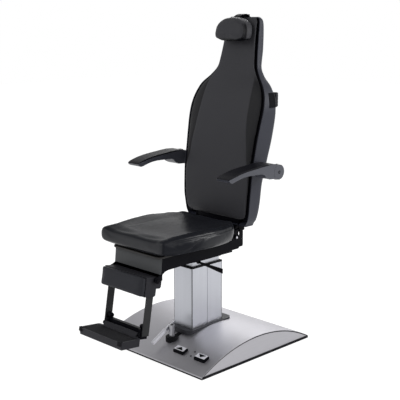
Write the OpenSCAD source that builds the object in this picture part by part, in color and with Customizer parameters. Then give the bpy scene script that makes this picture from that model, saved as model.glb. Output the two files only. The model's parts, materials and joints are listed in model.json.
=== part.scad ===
// Ophthalmic examination chair: a lifting column on an arched base carries a swivelling seat frame
// with a reclining back, swing-up arms, a sliding headrest and a leg rest with a folding footplate.
// Millimetres. The origin is the middle of the base on the floor, the chair faces -Y and +Z is up.

/* [Base] */
// Width of the base, side to side
base_w = 700; // [640:10:800]
// Depth of the base, front to back
base_d = 766; // [740:2:840]
// Thickness of the steel base plate
plate_t = 12.5; // [10:0.5:16]
// Height of the arched cover's crown above the plate
crown_h = 101.5; // [95:0.5:110]
// Sheet thickness of the arched cover
cover_t = 2; // [1.5:0.5:3]
// Thickness of the flat side panels
panel_t = 3; // [2:0.5:5]
// How far the side panels stand in from the ends of the cover
panel_inset = 1.5; // [1:0.5:4]
// Height of the control box
control_h = 45; // [35:1:50]

/* [Column] */
// Width of the outer column tube
column_w = 128; // [120:2:140]
// Depth of the outer column tube, front to back
column_d = 210; // [200:2:220]
// Place of the column's centre behind the middle of the base
column_y = -58.5; // [-70:0.5:-50]
// Height of the top of the outer column above the floor
column_top = 423; // [415:1:430]
// Wall of the column tubes
column_wall = 5; // [4:0.5:6]
// Space between the outer and the inner column at the sides
column_gap = 5; // [4:0.5:6]
// Height of the black wiper that closes the outer column
wiper_h = 8; // [6:0.5:12]
// Height of the inner column's top above the floor, column down
inner_top = 446; // [440:1:452]
// Height of the underside of the inner column, column down
inner_foot = 130; // [125:1:150]
// Thickness of the plate on top of the inner column
head_t = 10; // [8:0.5:12]
// Height that the collar's front stands above the top of the base plate
collar_front_h = 99.5; // [98:0.5:104]
// How much higher the collar stands at its back
collar_rise = 7; // [6:0.5:10]

/* [Foot controls] */
// Width of one foot switch
switch_w = 70; // [60:1:80]
// Depth of one foot switch
switch_d = 36; // [30:1:42]
// Height of the foot switch housings above the base plate
switch_h = 49; // [47:0.5:56]
// Distance between the two foot switches
switch_pitch = 140; // [110:2:160]
// Travel of a foot switch button
switch_travel = 3; // [2:0.5:5]
// Radius of the post of the swivel lock
post_r = 14.5; // [12:0.5:18]
// Height of the top of that post above the floor
post_top = 144; // [138:1:155]
// Length of the lock pedal in front of its pivot
pedal_l = 122; // [100:2:140]
// Length of the lock pedal behind its pivot
pedal_tail = 44; // [30:1:60]
// Angle of the lock pedal below the level
pedal_angle = 29; // [24:1:34]

/* [Seat frame] */
// Distance between the outer faces of the side plates
frame_w = 322; // [314:2:330]
// Thickness of the side plates, the brackets and the back arms
side_t = 6; // [5:0.5:8]
// Height of the seat frame's cross plate above the floor
cross_z = 484; // [480:1:490]
// Thickness of the cross plate
cross_t = 8; // [6:0.5:10]
// Height of the seat board above the floor
board_z = 545; // [540:1:552]
// Thickness of the seat board
board_t = 8; // [6:0.5:12]
// Radius of the swivel shaft
swivel_r = 22; // [18:0.5:26]
// Length of the release lever from its pivot
release_l = 158; // [140:2:180]

/* [Seat cushion] */
// Greatest width of the seat cushion
seat_w = 490; // [460:2:510]
// Length of the seat cushion, front to back
seat_l = 527; // [500:1:530]
// Height of the seat cushion's rim above its board
seat_h = 88; // [75:1:100]
// Depth of the hollow in the top of the seat cushion
seat_dish = 22; // [10:1:30]

/* [Back] */
// Greatest width of the back cushion
back_w = 475; // [440:1:490]
// Height of the back cushion from its lower edge to its top
back_h = 981; // [940:1:1020]
// Height of the recline pivot above the floor
pivot_z = 555; // [551:1:558]
// Height of the back cushion's lower edge above that pivot
back_gap = 67; // [65:1:75]
// Wall of the moulded back shell
shell_wall = 4; // [3:0.5:5]
// Depth of the back cushion's side behind its front edge
cushion_side = 14; // [12:0.5:20]
// Thickness of the bent board behind the back cushion
back_board_t = 6; // [5:0.5:8]

/* [Arms] */
// Distance between the inner edges of the two armrests
arm_inside = 534; // [514:2:560]
// Width of one armrest
arm_w = 80; // [64:1:90]
// Reach of an armrest in front of its hub's axis
arm_l = 344; // [300:2:380]
// Radius of the armrest's hub
hub_r = 35; // [32:0.5:40]
// Radius of the shaft through the hubs
arm_shaft_r = 14; // [11:0.5:16]
// Thickness of the dark pad on an armrest
arm_pad_t = 7; // [5:0.5:9]

/* [Headrest] */
// Width of the head cushion
head_w = 182; // [160:2:200]
// Height of the head cushion
head_h = 106; // [90:1:116]
// Depth of the head cushion
head_d = 82; // [60:1:84]
// Width of the steel strap that carries the head cushion
strap_w = 34; // [28:1:44]
// Thickness of that strap
strap_t = 3; // [2.5:0.5:3]

/* [Leg rest] */
// Width of the leg rest's housing
leg_w = 292; // [284:1:296]
// Height of the leg rest's housing
leg_h = 89; // [86:1:100]
// Angle that the leg rest hangs forward of the plumb line
leg_tilt = 9.7; // [6:0.1:12]
// Width of one footrest rail, front to back
rail_d = 40; // [34:1:44]
// Thickness of one footrest rail
rail_t = 6; // [5:0.5:8]
// Length of the rails below the housing
rail_out = 185; // [170:1:220]
// Width of the footplate
foot_w = 296; // [280:2:310]
// Length of the footplate
foot_l = 122; // [110:1:124]
// Thickness of the footplate
foot_t = 35; // [28:1:38]

/* [Hidden] */
$fn = 64;

// Overrun of every cut past the face that it opens
cut = 1;
// Space between pieces that move past each other
slack = 0.3;
// Radial space of a shaft in its bearing
run_fit = 0.05;
// Space between pieces that lie on each other or are bolted together
seat_fit = 0.1;
// Radial space of a bolt or shaft in a plain hole that doesn't carry it
bolt_fit = 0.05;
// Space for a piece that is pushed through another
push_fit = 0.9;
// Facets of a great arc and of a small one
arc_fn = 360;
pin_fn = 48;

// Arch of the base cover, a circle about an axis along X
plate_d = base_d - 2 * (cover_t + slack);
arch_r = (pow(base_d / 2, 2) + pow(crown_h, 2)) / (2 * crown_h);
arch_z0 = plate_t + crown_h - arch_r;
lip_lift = 1;
arch_facets = arc_fn;

// Control box and mains inlet
control_w = 140;
control_d = 100;
control_y = 215;
control_r = 8;
inlet_y = 120;
inlet_z = 50;
inlet_w = 50;
inlet_h = 30;
inlet_body_w = 40;
inlet_body_h = 22;
inlet_depth = 28;
inlet_wall = 3;
contact_w = 2;
contact_h = 6;
contact_pitch = 8;

// Column pieces
foot_plate_t = 12;
foot_margin = 24;
bolt_r = 6;
bolt_head_r = 9;
bolt_head_h = 7;
column_front = column_y - column_d / 2;
column_back = column_y + column_d / 2;
column_z0 = plate_t + foot_plate_t;
groove_w = 5;
groove_t = 1.5;
corner_r = 4;
inner_w = column_w - 2 * (column_wall + column_gap);
inner_d = column_d - 2 * (column_wall + column_gap + column_gap / 3);
collar_side = 15;
collar_front = 31;
collar_back = 52;
collar_r = 30;
wiper_out = 1;
pad_h = 28;
pad_w = 40;
pad_drop = 6;
actuator_r = 25;
motor_r = 21;
actuator_drop = 18;
actuator_y = column_y + motor_r;
rod_r = 12;
rod_lift = 35;
motor_y = column_y - 2 * actuator_r;
motor_h = 70;
gearbox_w = 64;
gearbox_h = 24;
head_w_plate = 130;
head_d_plate = 190;
boss_r = 80;
boss_h = 10;

// Foot switches: pressed straight down into their housings
switch_edge = 158;
switch_setback = 85;
switch_x = base_w / 2 - switch_edge;
switch_y = switch_setback - base_d / 2;
switch_wall = 3;
switch_cap_h = 9;
switch_proud = 5;
switch_r = 4;
stem_r = 4;
stem_l = 14;
switch_play = 1;

// Swivel lock: a post through the cover with a pedal beside it
post_x = 12;
post_y = -250;
post_socket_r = 6;
post_socket_h = 12;
post_ring_r = 31;
post_ring_rise = 4.66;
post_ring_top = arch_z(post_y + post_ring_r) + post_ring_rise;
pedal_t = 10;
pedal_bar_h = 14;
pedal_boss_r = 10;
pedal_gap = 1;
pedal_z = 130;
pin_r = 4;
pin_head_r = 6.5;
pin_head_h = 3;

// Swivel and seat frame
boss_top = inner_top + head_t + boss_h;
housing_r = 80;
swivel_proud = 4;
swivel_top = cross_z + cross_t + swivel_proud;
frame_half = frame_w / 2;
plate_in = frame_half - side_t;
cross_front = -260;
cross_back = 22;
pivot_y = 43;
pivot = [pivot_y, pivot_z];
recline_r = 10;
recline_cap_r = 12;
// The side plate's rear corner, its lower edge and its step behind the seat board
plate_rear = 22;
plate_rise = 6;
plate_edge = 4;
plate_step = 9;
// Hinge bracket: reach behind and in front of the pivot, height over it, and its slot
bracket_back = 55;
bracket_front = 22;
bracket_up = 35;
bracket_lift = 9;
bracket_r = 12;
bracket_foot = 8;
bracket_chamfer = 3;
slot_y = 27;
slot_z = 19;
slot_w = 10;
slot_l = 27;
leg_y = -473;
leg_z = 447;
leg_pivot = [leg_y, leg_z];
leg_shaft_r = 9;
washer_out = 3;
hook_r = 15;
apron_t = 3;
apron_half = frame_half - slack;
apron_lean = 7;
apron_y = leg_y + 28;
apron_low = leg_z + 24;
crossbar_y = -395;
crossbar_d = 30;
crossbar_h = 30;
crossbar_wall = 3;
ear_t = 6;

// Gas spring along the middle, from the front crossbar to a crank on the recline shaft
crank_l = 42;
crank_half_angle = 37.5;
crank_t = 6;
crank_in = 8;
crank_pin_r = 5;
crank_r = 9;
hub_in_r = 14;
spring_z = pivot_z - crank_l * (1 + cos(crank_half_angle)) / 2;
spring_front = -340;
spring_back = -110;
spring_eye_r = 10;
spring_bolt_r = 5;
barrel_r = 14;
barrel_wall_front = 20;
spring_rod_r = 5;
spring_rod_front = -150;
fork_half = 7;
fork_w = 22;
fork_h = 30;

// Release lever under the seat
release_x = 100;
release_y = -155;
release_z = 458;
release_t = 6;
release_root = 8;
release_tip = 23;
release_drop = 12;
release_hub_r = 7;
release_pin_r = 3;
lug_w = 16;
lug_t = 4;

// Seat cushion: half widths and rim heights as shares along its length, front to back
seat_back = 28;
seat_front = seat_back - seat_l;
seat_width_shares = [
  [0, 0.82], [0.006, 0.86], [0.02, 0.885], [0.05, 0.9], [0.1, 0.91], [0.16, 0.92], [0.24, 0.935],
  [0.34, 0.955], [0.44, 0.975], [0.54, 0.99], [0.62, 1], [0.69, 0.99], [0.76, 0.97], [0.83, 0.94],
  [0.89, 0.9], [0.94, 0.84], [0.97, 0.78], [0.99, 0.7], [1, 0.6]
];
seat_rise_shares = [
  [0, 0.76], [0.006, 0.83], [0.02, 0.885], [0.05, 0.925], [0.1, 0.945], [0.16, 0.965], [0.24, 0.985],
  [0.34, 1], [0.44, 1], [0.54, 0.995], [0.62, 0.99], [0.76, 0.985], [0.83, 0.98], [0.89, 0.97],
  [0.94, 0.94], [0.97, 0.88], [0.99, 0.78], [1, 0.6]
];
seat_base_shares = [
  [0, 0.26], [0.006, 0.2], [0.02, 0.17], [0.05, 0.12], [0.1, 0.06], [0.16, 0.02], [0.22, 0],
  [0.83, 0], [0.89, 0.02], [0.94, 0.06], [0.97, 0.12], [0.99, 0.22], [1, 0.4]
];
seat_dish_shares = [
  [0, 0], [0.02, 0.04], [0.05, 0.1], [0.1, 0.22], [0.16, 0.45], [0.24, 0.75], [0.34, 1], [0.76, 1],
  [0.83, 0.9], [0.89, 0.7], [0.94, 0.45], [0.97, 0.25], [0.99, 0.1], [1, 0]
];
seat_length_shares = [
  0, 0.003, 0.01, 0.022, 0.04, 0.07, 0.11, 0.15, 0.2, 0.25, 0.3, 0.36, 0.42, 0.48, 0.54, 0.6, 0.66,
  0.72, 0.78, 0.83, 0.875, 0.91, 0.94, 0.965, 0.983, 0.995, 1
];
// One cross section of the seat cushion: shares of half width, of rim height and of the dish
seat_section_shares = [
  [0, 0, 0], [0.5, 0, 0], [0.84, 0, 0], [0.93, 0.05, 0], [0.985, 0.22, 0], [1, 0.45, 0],
  [1, 0.68, 0], [0.98, 0.86, 0], [0.935, 0.97, 0], [0.86, 1, 0], [0.76, 1, 0.22], [0.6, 1, 0.62],
  [0.4, 1, 0.9], [0.18, 1, 1], [0, 1, 1]
];
board_half = 166;
board_front = -470;
board_back = 6;
board_r = 30;

// Back: each pair is a share of the back's height and the value there
back_z0 = pivot_z + back_gap;
// Half width, as a share of half the greatest width
back_width_shares = [
  [0, 0.7], [0.006, 0.78], [0.018, 0.85], [0.045, 0.885], [0.1, 0.915], [0.18, 0.935], [0.26, 0.948],
  [0.34, 0.955], [0.43, 0.975], [0.5, 0.995], [0.55, 1], [0.59, 0.978], [0.63, 0.926], [0.67, 0.83],
  [0.71, 0.66], [0.75, 0.535], [0.79, 0.495], [0.87, 0.455], [0.94, 0.43], [0.975, 0.415],
  [0.992, 0.385], [1, 0.34]
];
// Front edge of the cushion behind the recline pivot, as a share of the back's height
back_edge_shares = [
  [0, 0.0265], [0.008, 0.0225], [0.02, 0.0195], [0.06, 0.0165], [0.1, 0.0145], [0.18, 0.019], [0.26, 0.026],
  [0.34, 0.039], [0.43, 0.055], [0.51, 0.073], [0.59, 0.0975], [0.63, 0.112], [0.67, 0.127],
  [0.71, 0.149], [0.75, 0.1655], [0.79, 0.1745], [0.87, 0.19], [0.94, 0.203], [1, 0.215]
];
// Rear of the shell behind the recline pivot, as a share of the back's height
back_rear_shares = [
  [0, 0.092], [0.02, 0.099], [0.1, 0.107], [0.2, 0.1155], [0.3, 0.1435], [0.4, 0.171], [0.5, 0.187],
  [0.6, 0.1955], [0.68, 0.199], [0.72, 0.204], [0.78, 0.222], [0.84, 0.2395], [0.93, 0.252],
  [0.985, 0.253], [1, 0.246]
];
// Half width of the middle panel, as a share of half the greatest width
back_panel_shares = [
  [0, 0.6], [0.018, 0.78], [0.06, 0.84], [0.1, 0.865], [0.2, 0.88], [0.26, 0.87], [0.32, 0.8],
  [0.37, 0.78], [0.41, 0.75], [0.45, 0.72], [0.49, 0.7], [0.53, 0.683], [0.57, 0.67], [0.65, 0.645],
  [0.69, 0.615], [0.72, 0.555], [0.75, 0.495], [0.79, 0.462], [0.87, 0.425], [0.94, 0.4],
  [0.975, 0.385], [1, 0.3]
];
// Middle panel in front of the edge, as a share of the depth of the cushion's side
back_crown_shares = [
  [0, 0.2], [0.02, 0.35], [0.06, 0.45], [0.2, 0.4], [0.3, 0.5], [0.4, 0.85], [0.5, 1], [0.6, 1],
  [0.66, 0.9], [0.72, 0.55], [0.78, 0.3], [0.9, 0.22], [0.98, 0.18], [1, 0.1]
];
// Heights of the rings that the back is drawn from
back_height_shares = [
  0, 0.006, 0.012, 0.02, 0.032, 0.05, 0.075, 0.105, 0.14, 0.18, 0.22, 0.26, 0.3, 0.34, 0.38, 0.42,
  0.46, 0.5, 0.53, 0.56, 0.585, 0.61, 0.63, 0.65, 0.67, 0.69, 0.71, 0.73, 0.75, 0.77, 0.79, 0.82,
  0.85, 0.88, 0.91, 0.94, 0.96, 0.975, 0.985, 0.993, 1
];
// One cross section of the back cushion: share of half width, and of its side behind the edge
back_section_shares = [[0.93, 1], [0.985, 0.65], [1, 0.35], [0.992, 0.02], [0.968, -0.14]];
// Share of the height below which the cushion's rear face and the shell's rim run straight
back_foot_share = 0.06;
shell_out = 3;
shell_drop = 9;
shell_rear_r = 26;
shell_crown = 4;
back_rings = len(back_height_shares);
board_play = 1;

// Back arms, arm shaft and push bar
arm_play = 2;
arm_in = plate_in - side_t - arm_play;
back_arm_t = side_t;
back_arm_w = 30;
back_arm_hub = 15;
// Back arm over the pivot: straight up to the knee, back to the foot of the board, then up behind it
knee_y = 6;
knee_z = 34;
knee_w = 26;
rise_y = 54;
rise_z = 67;
rise_w = 29;
straight_y = 56;
straight_z = 95;
back_arm_up = 41;
back_arm_low = 60;
back_arm_edge = 8;
slot_clear = 2;
arm_axis_y = 136;
arm_axis_z = 889;
arm_axis = [arm_axis_y, arm_axis_z];
sleeve_r = 20;
hub_x0 = arm_inside / 2;
hub_x1 = hub_x0 + arm_w;
cap_t = 20;
cap_inset = 1.5;
cap_r = hub_r - cap_inset;
cap_gap = 4;
screw_r = 4;
screw_t = 1;
push_half = 190;
push_d = 28;
push_h = 72;
push_y = 274;
push_z = 1208;
push_foot_w = 30;
push_foot_h = 58;
push_foot_in = 26;
push_stand = 3.3;

// Headrest
neck_slope = atan(0.19);
head_z = 1548;
head_y = 189;
strap_rear_y = 276.8;
strap_rear_z = 1600;
strap_low = 172;
bridge_z = 1612;
guide_l = 110;
guide_low = 60;
guide_wall = 3;

// Leg rest, measured in its own frame: y back and z up from its pivot
leg_top = 12.6;
leg_front = -56;
leg_back_low = 9;
leg_back_high = 37;
leg_step = -40;
leg_r = 7;
leg_pad_t = 12.5;
leg_pad_inset = 1.5;
leg_pad_half = leg_w / 2 - leg_pad_inset;
rail_out_x = 136;
rail_front = -33.4;
rail_top = -13;
guide_in = 118;
rail_bottom = leg_top - leg_h - rail_out;
bar_h = 23;
bar_d = 24;
bar_lift = 7;
bar_low = rail_bottom + bar_lift;
foot_pin_y = -40;
foot_pin_lift = 6;
foot_pin_z = rail_bottom + foot_pin_lift;
foot_pin_r = 5;
knuckle_r = 9;
lug_x0 = 115;
lug_x1 = 127;
foot_back = -49;
foot_drop = 10;
foot_top_back = foot_pin_z - foot_drop;
foot_slope = 0.066;
foot_wall = 4;
foot_corner_r = 12;
foot_nose = 12;
mat_t = 3;
mat_inset = 7;
mat_rib = 1;
mat_rib_w = 3;
mat_ribs = 9;

// Height of the cover at a given distance from the middle of the base
function arch_z(y) = arch_z0 + sqrt(pow(arch_r, 2) - pow(y, 2));

// Slope of a table of pairs at station i
function slope(table, i) =
  let (a = table[max(i - 1, 0)], b = table[min(i + 1, len(table) - 1)])
  (b[1] - a[1]) / (b[0] - a[0]);

// Value at x of the smooth curve through a table of pairs
function smooth(table, x) =
  let (
    i = min(max([for (k = [0:len(table) - 1]) table[k][0] <= x ? k : 0]), len(table) - 2),
    a = table[i], b = table[i + 1], h = b[0] - a[0], s = (x - a[0]) / h
  )
  a[1] * (1 + 2 * s) * pow(1 - s, 2) + b[1] * s * s * (3 - 2 * s)
  + h * s * (1 - s) * (slope(table, i) * (1 - s) - slope(table, i + 1) * s);

// Middle of a ring of points
function middle(ring) = [for (k = [0:2]) ([for (p = ring) p[k]] * [for (p = ring) 1]) / len(ring)];

// A section drawn in Y and Z, drawn out along X
module along_x(x0, x1) {
  translate([x0, 0, 0])
    rotate([90, 0, 90])
      linear_extrude(x1 - x0) children();
}

// A section drawn in X and Z, drawn out along Y
module along_y(y0, y1) {
  translate([0, y1, 0])
    rotate([90, 0, 0])
      linear_extrude(y1 - y0) children();
}

// A box from its two corners
module block(low, high) {
  translate(low) cube(high - low);
}

// A cylinder along X about a point in Y and Z
module rod_x(x0, x1, at_yz, r, facets = pin_fn) {
  translate([x0, at_yz[0], at_yz[1]])
    rotate([0, 90, 0])
      cylinder(h = x1 - x0, r = r, $fn = facets);
}

// A cylinder along Y about a point in X and Z
module rod_y(y0, y1, at_xz, r, facets = pin_fn) {
  translate([at_xz[0], y1, at_xz[1]])
    rotate([90, 0, 0])
      cylinder(h = y1 - y0, r = r, $fn = facets);
}

// A flat rectangle with round corners about the origin
module round_rect(w, d, r) {
  union() {
    square([w - 2 * r, d], center = true);
    square([w, d - 2 * r], center = true);
    for (x = [-1, 1], y = [-1, 1])
      translate([x * (w / 2 - r), y * (d / 2 - r)])
        circle(r, $fn = pin_fn);
  }
}

// A closed skin over rings of points, closed by a fan at each end
module skin(rings) {
  n = len(rings[0]);
  m = len(rings);
  points = concat([for (ring = rings) each ring], [middle(rings[0]), middle(rings[m - 1])]);
  sides = [
    for (j = [0:m - 2], i = [0:n - 1])
      let (a = j * n + i, b = j * n + (i + 1) % n)
        each [[a, b + n, b], [a, a + n, b + n]]
  ];
  low = [for (i = [0:n - 1]) [m * n, i, (i + 1) % n]];
  high = [for (i = [0:n - 1]) [m * n + 1, (m - 1) * n + (i + 1) % n, (m - 1) * n + i]];
  polyhedron(points, concat(sides, low, high));
}

// Everything under the arched cover, and the cylinder that bounds it
module arch_section(r) {
  intersection() {
    translate([0, arch_z0]) circle(r, $fn = arch_facets);
    translate([-base_d / 2, plate_t]) square([base_d, crown_h + cut]);
  }
}

module base_plate() {
  color([0.08, 0.08, 0.09])
    block([-base_w / 2, -plate_d / 2, 0], [base_w / 2, plate_d / 2, plate_t]);
}

// Openings of the cover: the column, the two foot switches and the post
module cover_openings() {
  opening = slack + column_wall;
  block([-column_w / 2 - opening, column_front - opening, 0],
    [column_w / 2 + opening, column_back + opening, plate_t + 2 * crown_h]);
  for (side = [-1, 1])
    translate([switch_x + side * switch_pitch / 2, switch_y, 0])
      linear_extrude(plate_t + crown_h)
        round_rect(switch_w + 2 * slack, switch_d + 2 * slack, switch_r + slack);
  translate([post_x, post_y, 0])
    cylinder(h = post_top, r = post_r + 2 * slack);
}

module base_cover() {
  color([0.66, 0.66, 0.68])
    difference() {
      along_x(-base_w / 2, base_w / 2)
        union() {
          difference() {
            arch_section(arch_r);
            translate([0, arch_z0]) circle(arch_r - cover_t, $fn = arch_facets);
          }
          for (side = [-1, 1])
            translate([side * (base_d - cover_t) / 2 - cover_t / 2, lip_lift])
              square([cover_t, plate_t - lip_lift + cover_t / 4]);
        }
      cover_openings();
    }
}

module side_panel(side) {
  edge = base_w / 2 - panel_inset;
  color([0.67, 0.67, 0.7])
    difference() {
      along_x(side > 0 ? edge - panel_t : -edge, side > 0 ? edge : panel_t - edge)
        intersection() {
          translate([0, arch_z0]) circle(arch_r - cover_t - slack, $fn = arch_facets);
          translate([-base_d / 2, plate_t]) square([base_d, crown_h]);
        }
      if (side < 0)
        block([-edge - cut, inlet_y - inlet_body_w / 2 - slack, inlet_z - inlet_body_h / 2 - slack],
          [panel_t + cut - edge, inlet_y + inlet_body_w / 2 + slack, inlet_z + inlet_body_h / 2 + slack]);
    }
}

module side_panel_left() {
  side_panel(-1);
}

module side_panel_right() {
  side_panel(1);
}

module column_foot() {
  half_w = column_w / 2 + foot_margin;
  half_d = column_d / 2 + foot_margin;
  color([0.2, 0.2, 0.22])
    difference() {
      block([-half_w, column_y - half_d, plate_t], [half_w, column_y + half_d, column_z0]);
      for (p = bolt_places())
        translate([p[0], p[1], plate_t - cut])
          cylinder(h = foot_plate_t + 2 * cut, r = bolt_r + slack, $fn = pin_fn);
    }
}

function bolt_places() = [
  for (x = [-1, 1], y = [-1, 1])
    [x * (column_w / 2 + foot_margin / 2), column_y + y * (column_d / 2 + foot_margin / 2)]
];

module column_bolts() {
  color([0.6, 0.6, 0.62])
    for (p = bolt_places())
      translate([p[0], p[1], 0]) {
        translate([0, 0, plate_t])
          cylinder(h = foot_plate_t + cut, r = bolt_r, $fn = pin_fn);
        translate([0, 0, column_z0])
          cylinder(h = bolt_head_h, r = bolt_head_r, $fn = 6);
      }
}

// A column tube with a shallow groove down the middle of each side
module column_tube(w, d, z0, z1, grooved) {
  translate([0, column_y, z0])
    linear_extrude(z1 - z0)
      difference() {
        round_rect(w, d, corner_r);
        round_rect(w - 2 * column_wall, d - 2 * column_wall, corner_r / 2);
        if (grooved)
          for (side = [-1, 1])
            translate([side * w / 2, 0])
              square([2 * groove_t, groove_w], center = true);
      }
}

module column_outer() {
  color([0.76, 0.77, 0.8])
    column_tube(column_w, column_d, column_z0, column_top - wiper_h, true);
}

module column_inner() {
  color([0.72, 0.73, 0.76])
    column_tube(inner_w, inner_d, inner_foot, inner_top, false);
}

module column_wiper() {
  color([0.06, 0.06, 0.07])
    translate([0, column_y, column_top - wiper_h])
      linear_extrude(wiper_h)
        difference() {
          round_rect(column_w + 2 * wiper_out, column_d + 2 * wiper_out, corner_r + wiper_out);
          round_rect(inner_w + 2 * slack, inner_d + 2 * slack, corner_r + slack);
        }
}

module column_collar() {
  front = column_front - collar_front;
  back = column_back + collar_back;
  collar_z = plate_t + collar_front_h;
  color([0.18, 0.18, 0.2])
    difference() {
      intersection() {
        translate([0, (front + back) / 2, plate_t])
          linear_extrude(2 * crown_h)
            round_rect(column_w + 2 * collar_side, back - front, collar_r);
        along_x(-column_w, column_w)
          polygon([
            [front - cut, plate_t], [back + cut, plate_t],
            [back + cut, collar_z + collar_rise], [front - cut, collar_z]
          ]);
      }
      translate([-column_w, 0, arch_z0])
        rotate([0, 90, 0])
          cylinder(h = 2 * column_w, r = arch_r + seat_fit, $fn = arch_facets);
      translate([0, column_y, plate_t])
        linear_extrude(2 * crown_h)
          round_rect(column_w + 2 * slack, column_d + 2 * slack, corner_r + slack);
    }
}

// Plastic pads that guide the inner column
module glide_pads() {
  side_pad = column_gap - slack;
  end_pad = column_d / 2 - column_wall - inner_d / 2 - slack;
  pad_z = column_top - wiper_h - pad_drop - pad_h;
  color([0.85, 0.85, 0.8])
    for (side = [-1, 1]) {
      translate([side * (column_w / 2 - column_wall - side_pad / 2), column_y, pad_z + pad_h / 2])
        cube([side_pad, pad_w, pad_h], center = true);
      translate([0, column_y + side * (column_d / 2 - column_wall - end_pad / 2), pad_z + pad_h / 2])
        cube([pad_w, end_pad, pad_h], center = true);
    }
}

module actuator_tube() {
  tube_top = column_top - actuator_drop;
  color([0.3, 0.31, 0.33])
    difference() {
      union() {
        block([-gearbox_w / 2, motor_y - gearbox_w / 2, column_z0],
          [gearbox_w / 2, actuator_y + gearbox_w / 2, column_z0 + gearbox_h]);
        translate([0, actuator_y, column_z0])
          cylinder(h = tube_top - column_z0, r = actuator_r);
        translate([0, motor_y, column_z0])
          cylinder(h = gearbox_h + motor_h, r = motor_r);
      }
      translate([0, actuator_y, column_z0 + gearbox_h])
        cylinder(h = tube_top, r = rod_r + slack);
    }
}

module actuator_rod() {
  color([0.8, 0.8, 0.82])
    translate([0, actuator_y, column_z0 + gearbox_h + rod_lift])
      cylinder(h = inner_top - column_z0 - gearbox_h - rod_lift, r = rod_r);
}

module control_box() {
  color([0.13, 0.13, 0.14])
    translate([0, control_y, plate_t])
      linear_extrude(control_h)
        round_rect(control_w, control_d, control_r);
}

// Three-pin mains inlet in the left side panel
module mains_inlet() {
  face = -base_w / 2 + panel_inset;
  half_w = inlet_body_w / 2;
  half_h = inlet_body_h / 2;
  color([0.07, 0.07, 0.08])
    union() {
      difference() {
        union() {
          block([face - panel_inset, inlet_y - inlet_w / 2, inlet_z - inlet_h / 2],
            [face, inlet_y + inlet_w / 2, inlet_z + inlet_h / 2]);
          block([face, inlet_y - half_w, inlet_z - half_h],
            [face + inlet_depth, inlet_y + half_w, inlet_z + half_h]);
        }
        block([face - panel_inset - cut, inlet_y - half_w + inlet_wall, inlet_z - half_h + inlet_wall],
          [face + inlet_depth - inlet_wall, inlet_y + half_w - inlet_wall,
            inlet_z + half_h - inlet_wall]);
      }
      for (k = [-1:1])
        translate([face + inlet_depth / 2, inlet_y + k * contact_pitch, inlet_z])
          cube([inlet_depth - 2 * inlet_wall + cut, contact_w, contact_h], center = true);
    }
}

// Housings of the foot switches, each with a well for its button
module switch_housings() {
  color([0.06, 0.06, 0.08])
    for (side = [-1, 1])
      translate([switch_x + side * switch_pitch / 2, switch_y, plate_t])
        difference() {
          linear_extrude(switch_h)
            round_rect(switch_w, switch_d, switch_r);
          translate([0, 0, switch_h - switch_well()])
            linear_extrude(switch_well() + cut)
              round_rect(switch_w - 2 * switch_wall, switch_d - 2 * switch_wall, switch_r / 2);
          translate([0, 0, switch_h - switch_well() - stem_l - switch_travel - switch_play])
            cylinder(h = stem_l + switch_travel + switch_play + cut, r = stem_r + slack, $fn = pin_fn);
        }
}

// Depth of the well that a button sinks into
function switch_well() = switch_cap_h - switch_proud + switch_travel + switch_play;

module pedal(side) {
  color([0.72, 0.72, 0.76])
    translate([switch_x + side * switch_pitch / 2, switch_y, plate_t + switch_h + switch_proud - switch_cap_h])
      union() {
        linear_extrude(switch_cap_h)
          round_rect(switch_w - 2 * (switch_wall + slack), switch_d - 2 * (switch_wall + slack),
            switch_r / 2);
        translate([0, 0, -stem_l])
          cylinder(h = stem_l + cut, r = stem_r, $fn = pin_fn);
      }
}

module pedal_up() {
  pedal(-1);
}

module pedal_down() {
  pedal(1);
}

module lock_post() {
  color([0.5, 0.51, 0.54])
    difference() {
      translate([post_x, post_y, plate_t])
        cylinder(h = post_top - plate_t, r = post_r);
      translate([post_x, post_y, post_top - post_socket_h])
        cylinder(h = post_socket_h + cut, r = post_socket_r, $fn = 6);
      rod_x(post_x - post_r - cut, post_x, [post_y, pedal_z], pin_r);
    }
}

// Rubber ring that closes the cover round the post
module post_ring() {
  color([0.04, 0.04, 0.05])
    difference() {
      translate([post_x, post_y, plate_t])
        cylinder(h = post_ring_top - plate_t, r = post_ring_r);
      translate([-base_w / 2, 0, arch_z0])
        rotate([0, 90, 0])
          cylinder(h = base_w, r = arch_r + seat_fit, $fn = arch_facets);
      translate([post_x, post_y, 0])
        cylinder(h = post_top, r = post_r + slack);
    }
}

// Place of the pedal's outer face beside the post
pedal_x1 = post_x - post_r - pedal_gap;
pedal_x0 = pedal_x1 - pedal_t;

module lever_pin() {
  color([0.75, 0.75, 0.77])
    union() {
      rod_x(pedal_x0 - slack, post_x, [post_y, pedal_z], pin_r);
      rod_x(pedal_x0 - slack - pin_head_h, pedal_x0 - slack, [post_y, pedal_z], pin_head_r);
    }
}

module lock_pedal() {
  color([0.78, 0.78, 0.8])
    difference() {
      translate([0, post_y, pedal_z])
        rotate([pedal_angle, 0, 0])
          along_x(pedal_x0, pedal_x1)
            union() {
              translate([-pedal_l + pedal_bar_h / 2, -pedal_bar_h / 2])
                square([pedal_l + pedal_tail - pedal_bar_h, pedal_bar_h]);
              for (y = [pedal_bar_h / 2 - pedal_l, pedal_tail - pedal_bar_h / 2])
                translate([y, 0]) circle(pedal_bar_h / 2, $fn = pin_fn);
              circle(pedal_boss_r, $fn = pin_fn);
            }
      rod_x(pedal_x0 - cut, pedal_x1 + cut, [post_y, pedal_z], pin_r + run_fit);
    }
}

// Top plate of the inner column with the swivel's boss and shaft
module column_head() {
  color([0.15, 0.15, 0.16])
    union() {
      translate([0, column_y, inner_top + head_t / 2])
        cube([head_w_plate, head_d_plate, head_t], center = true);
      translate([0, column_y, inner_top + head_t])
        cylinder(h = boss_h, r = boss_r);
      translate([0, column_y, inner_top + head_t])
        cylinder(h = swivel_top - inner_top - head_t, r = swivel_r);
    }
}

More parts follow.
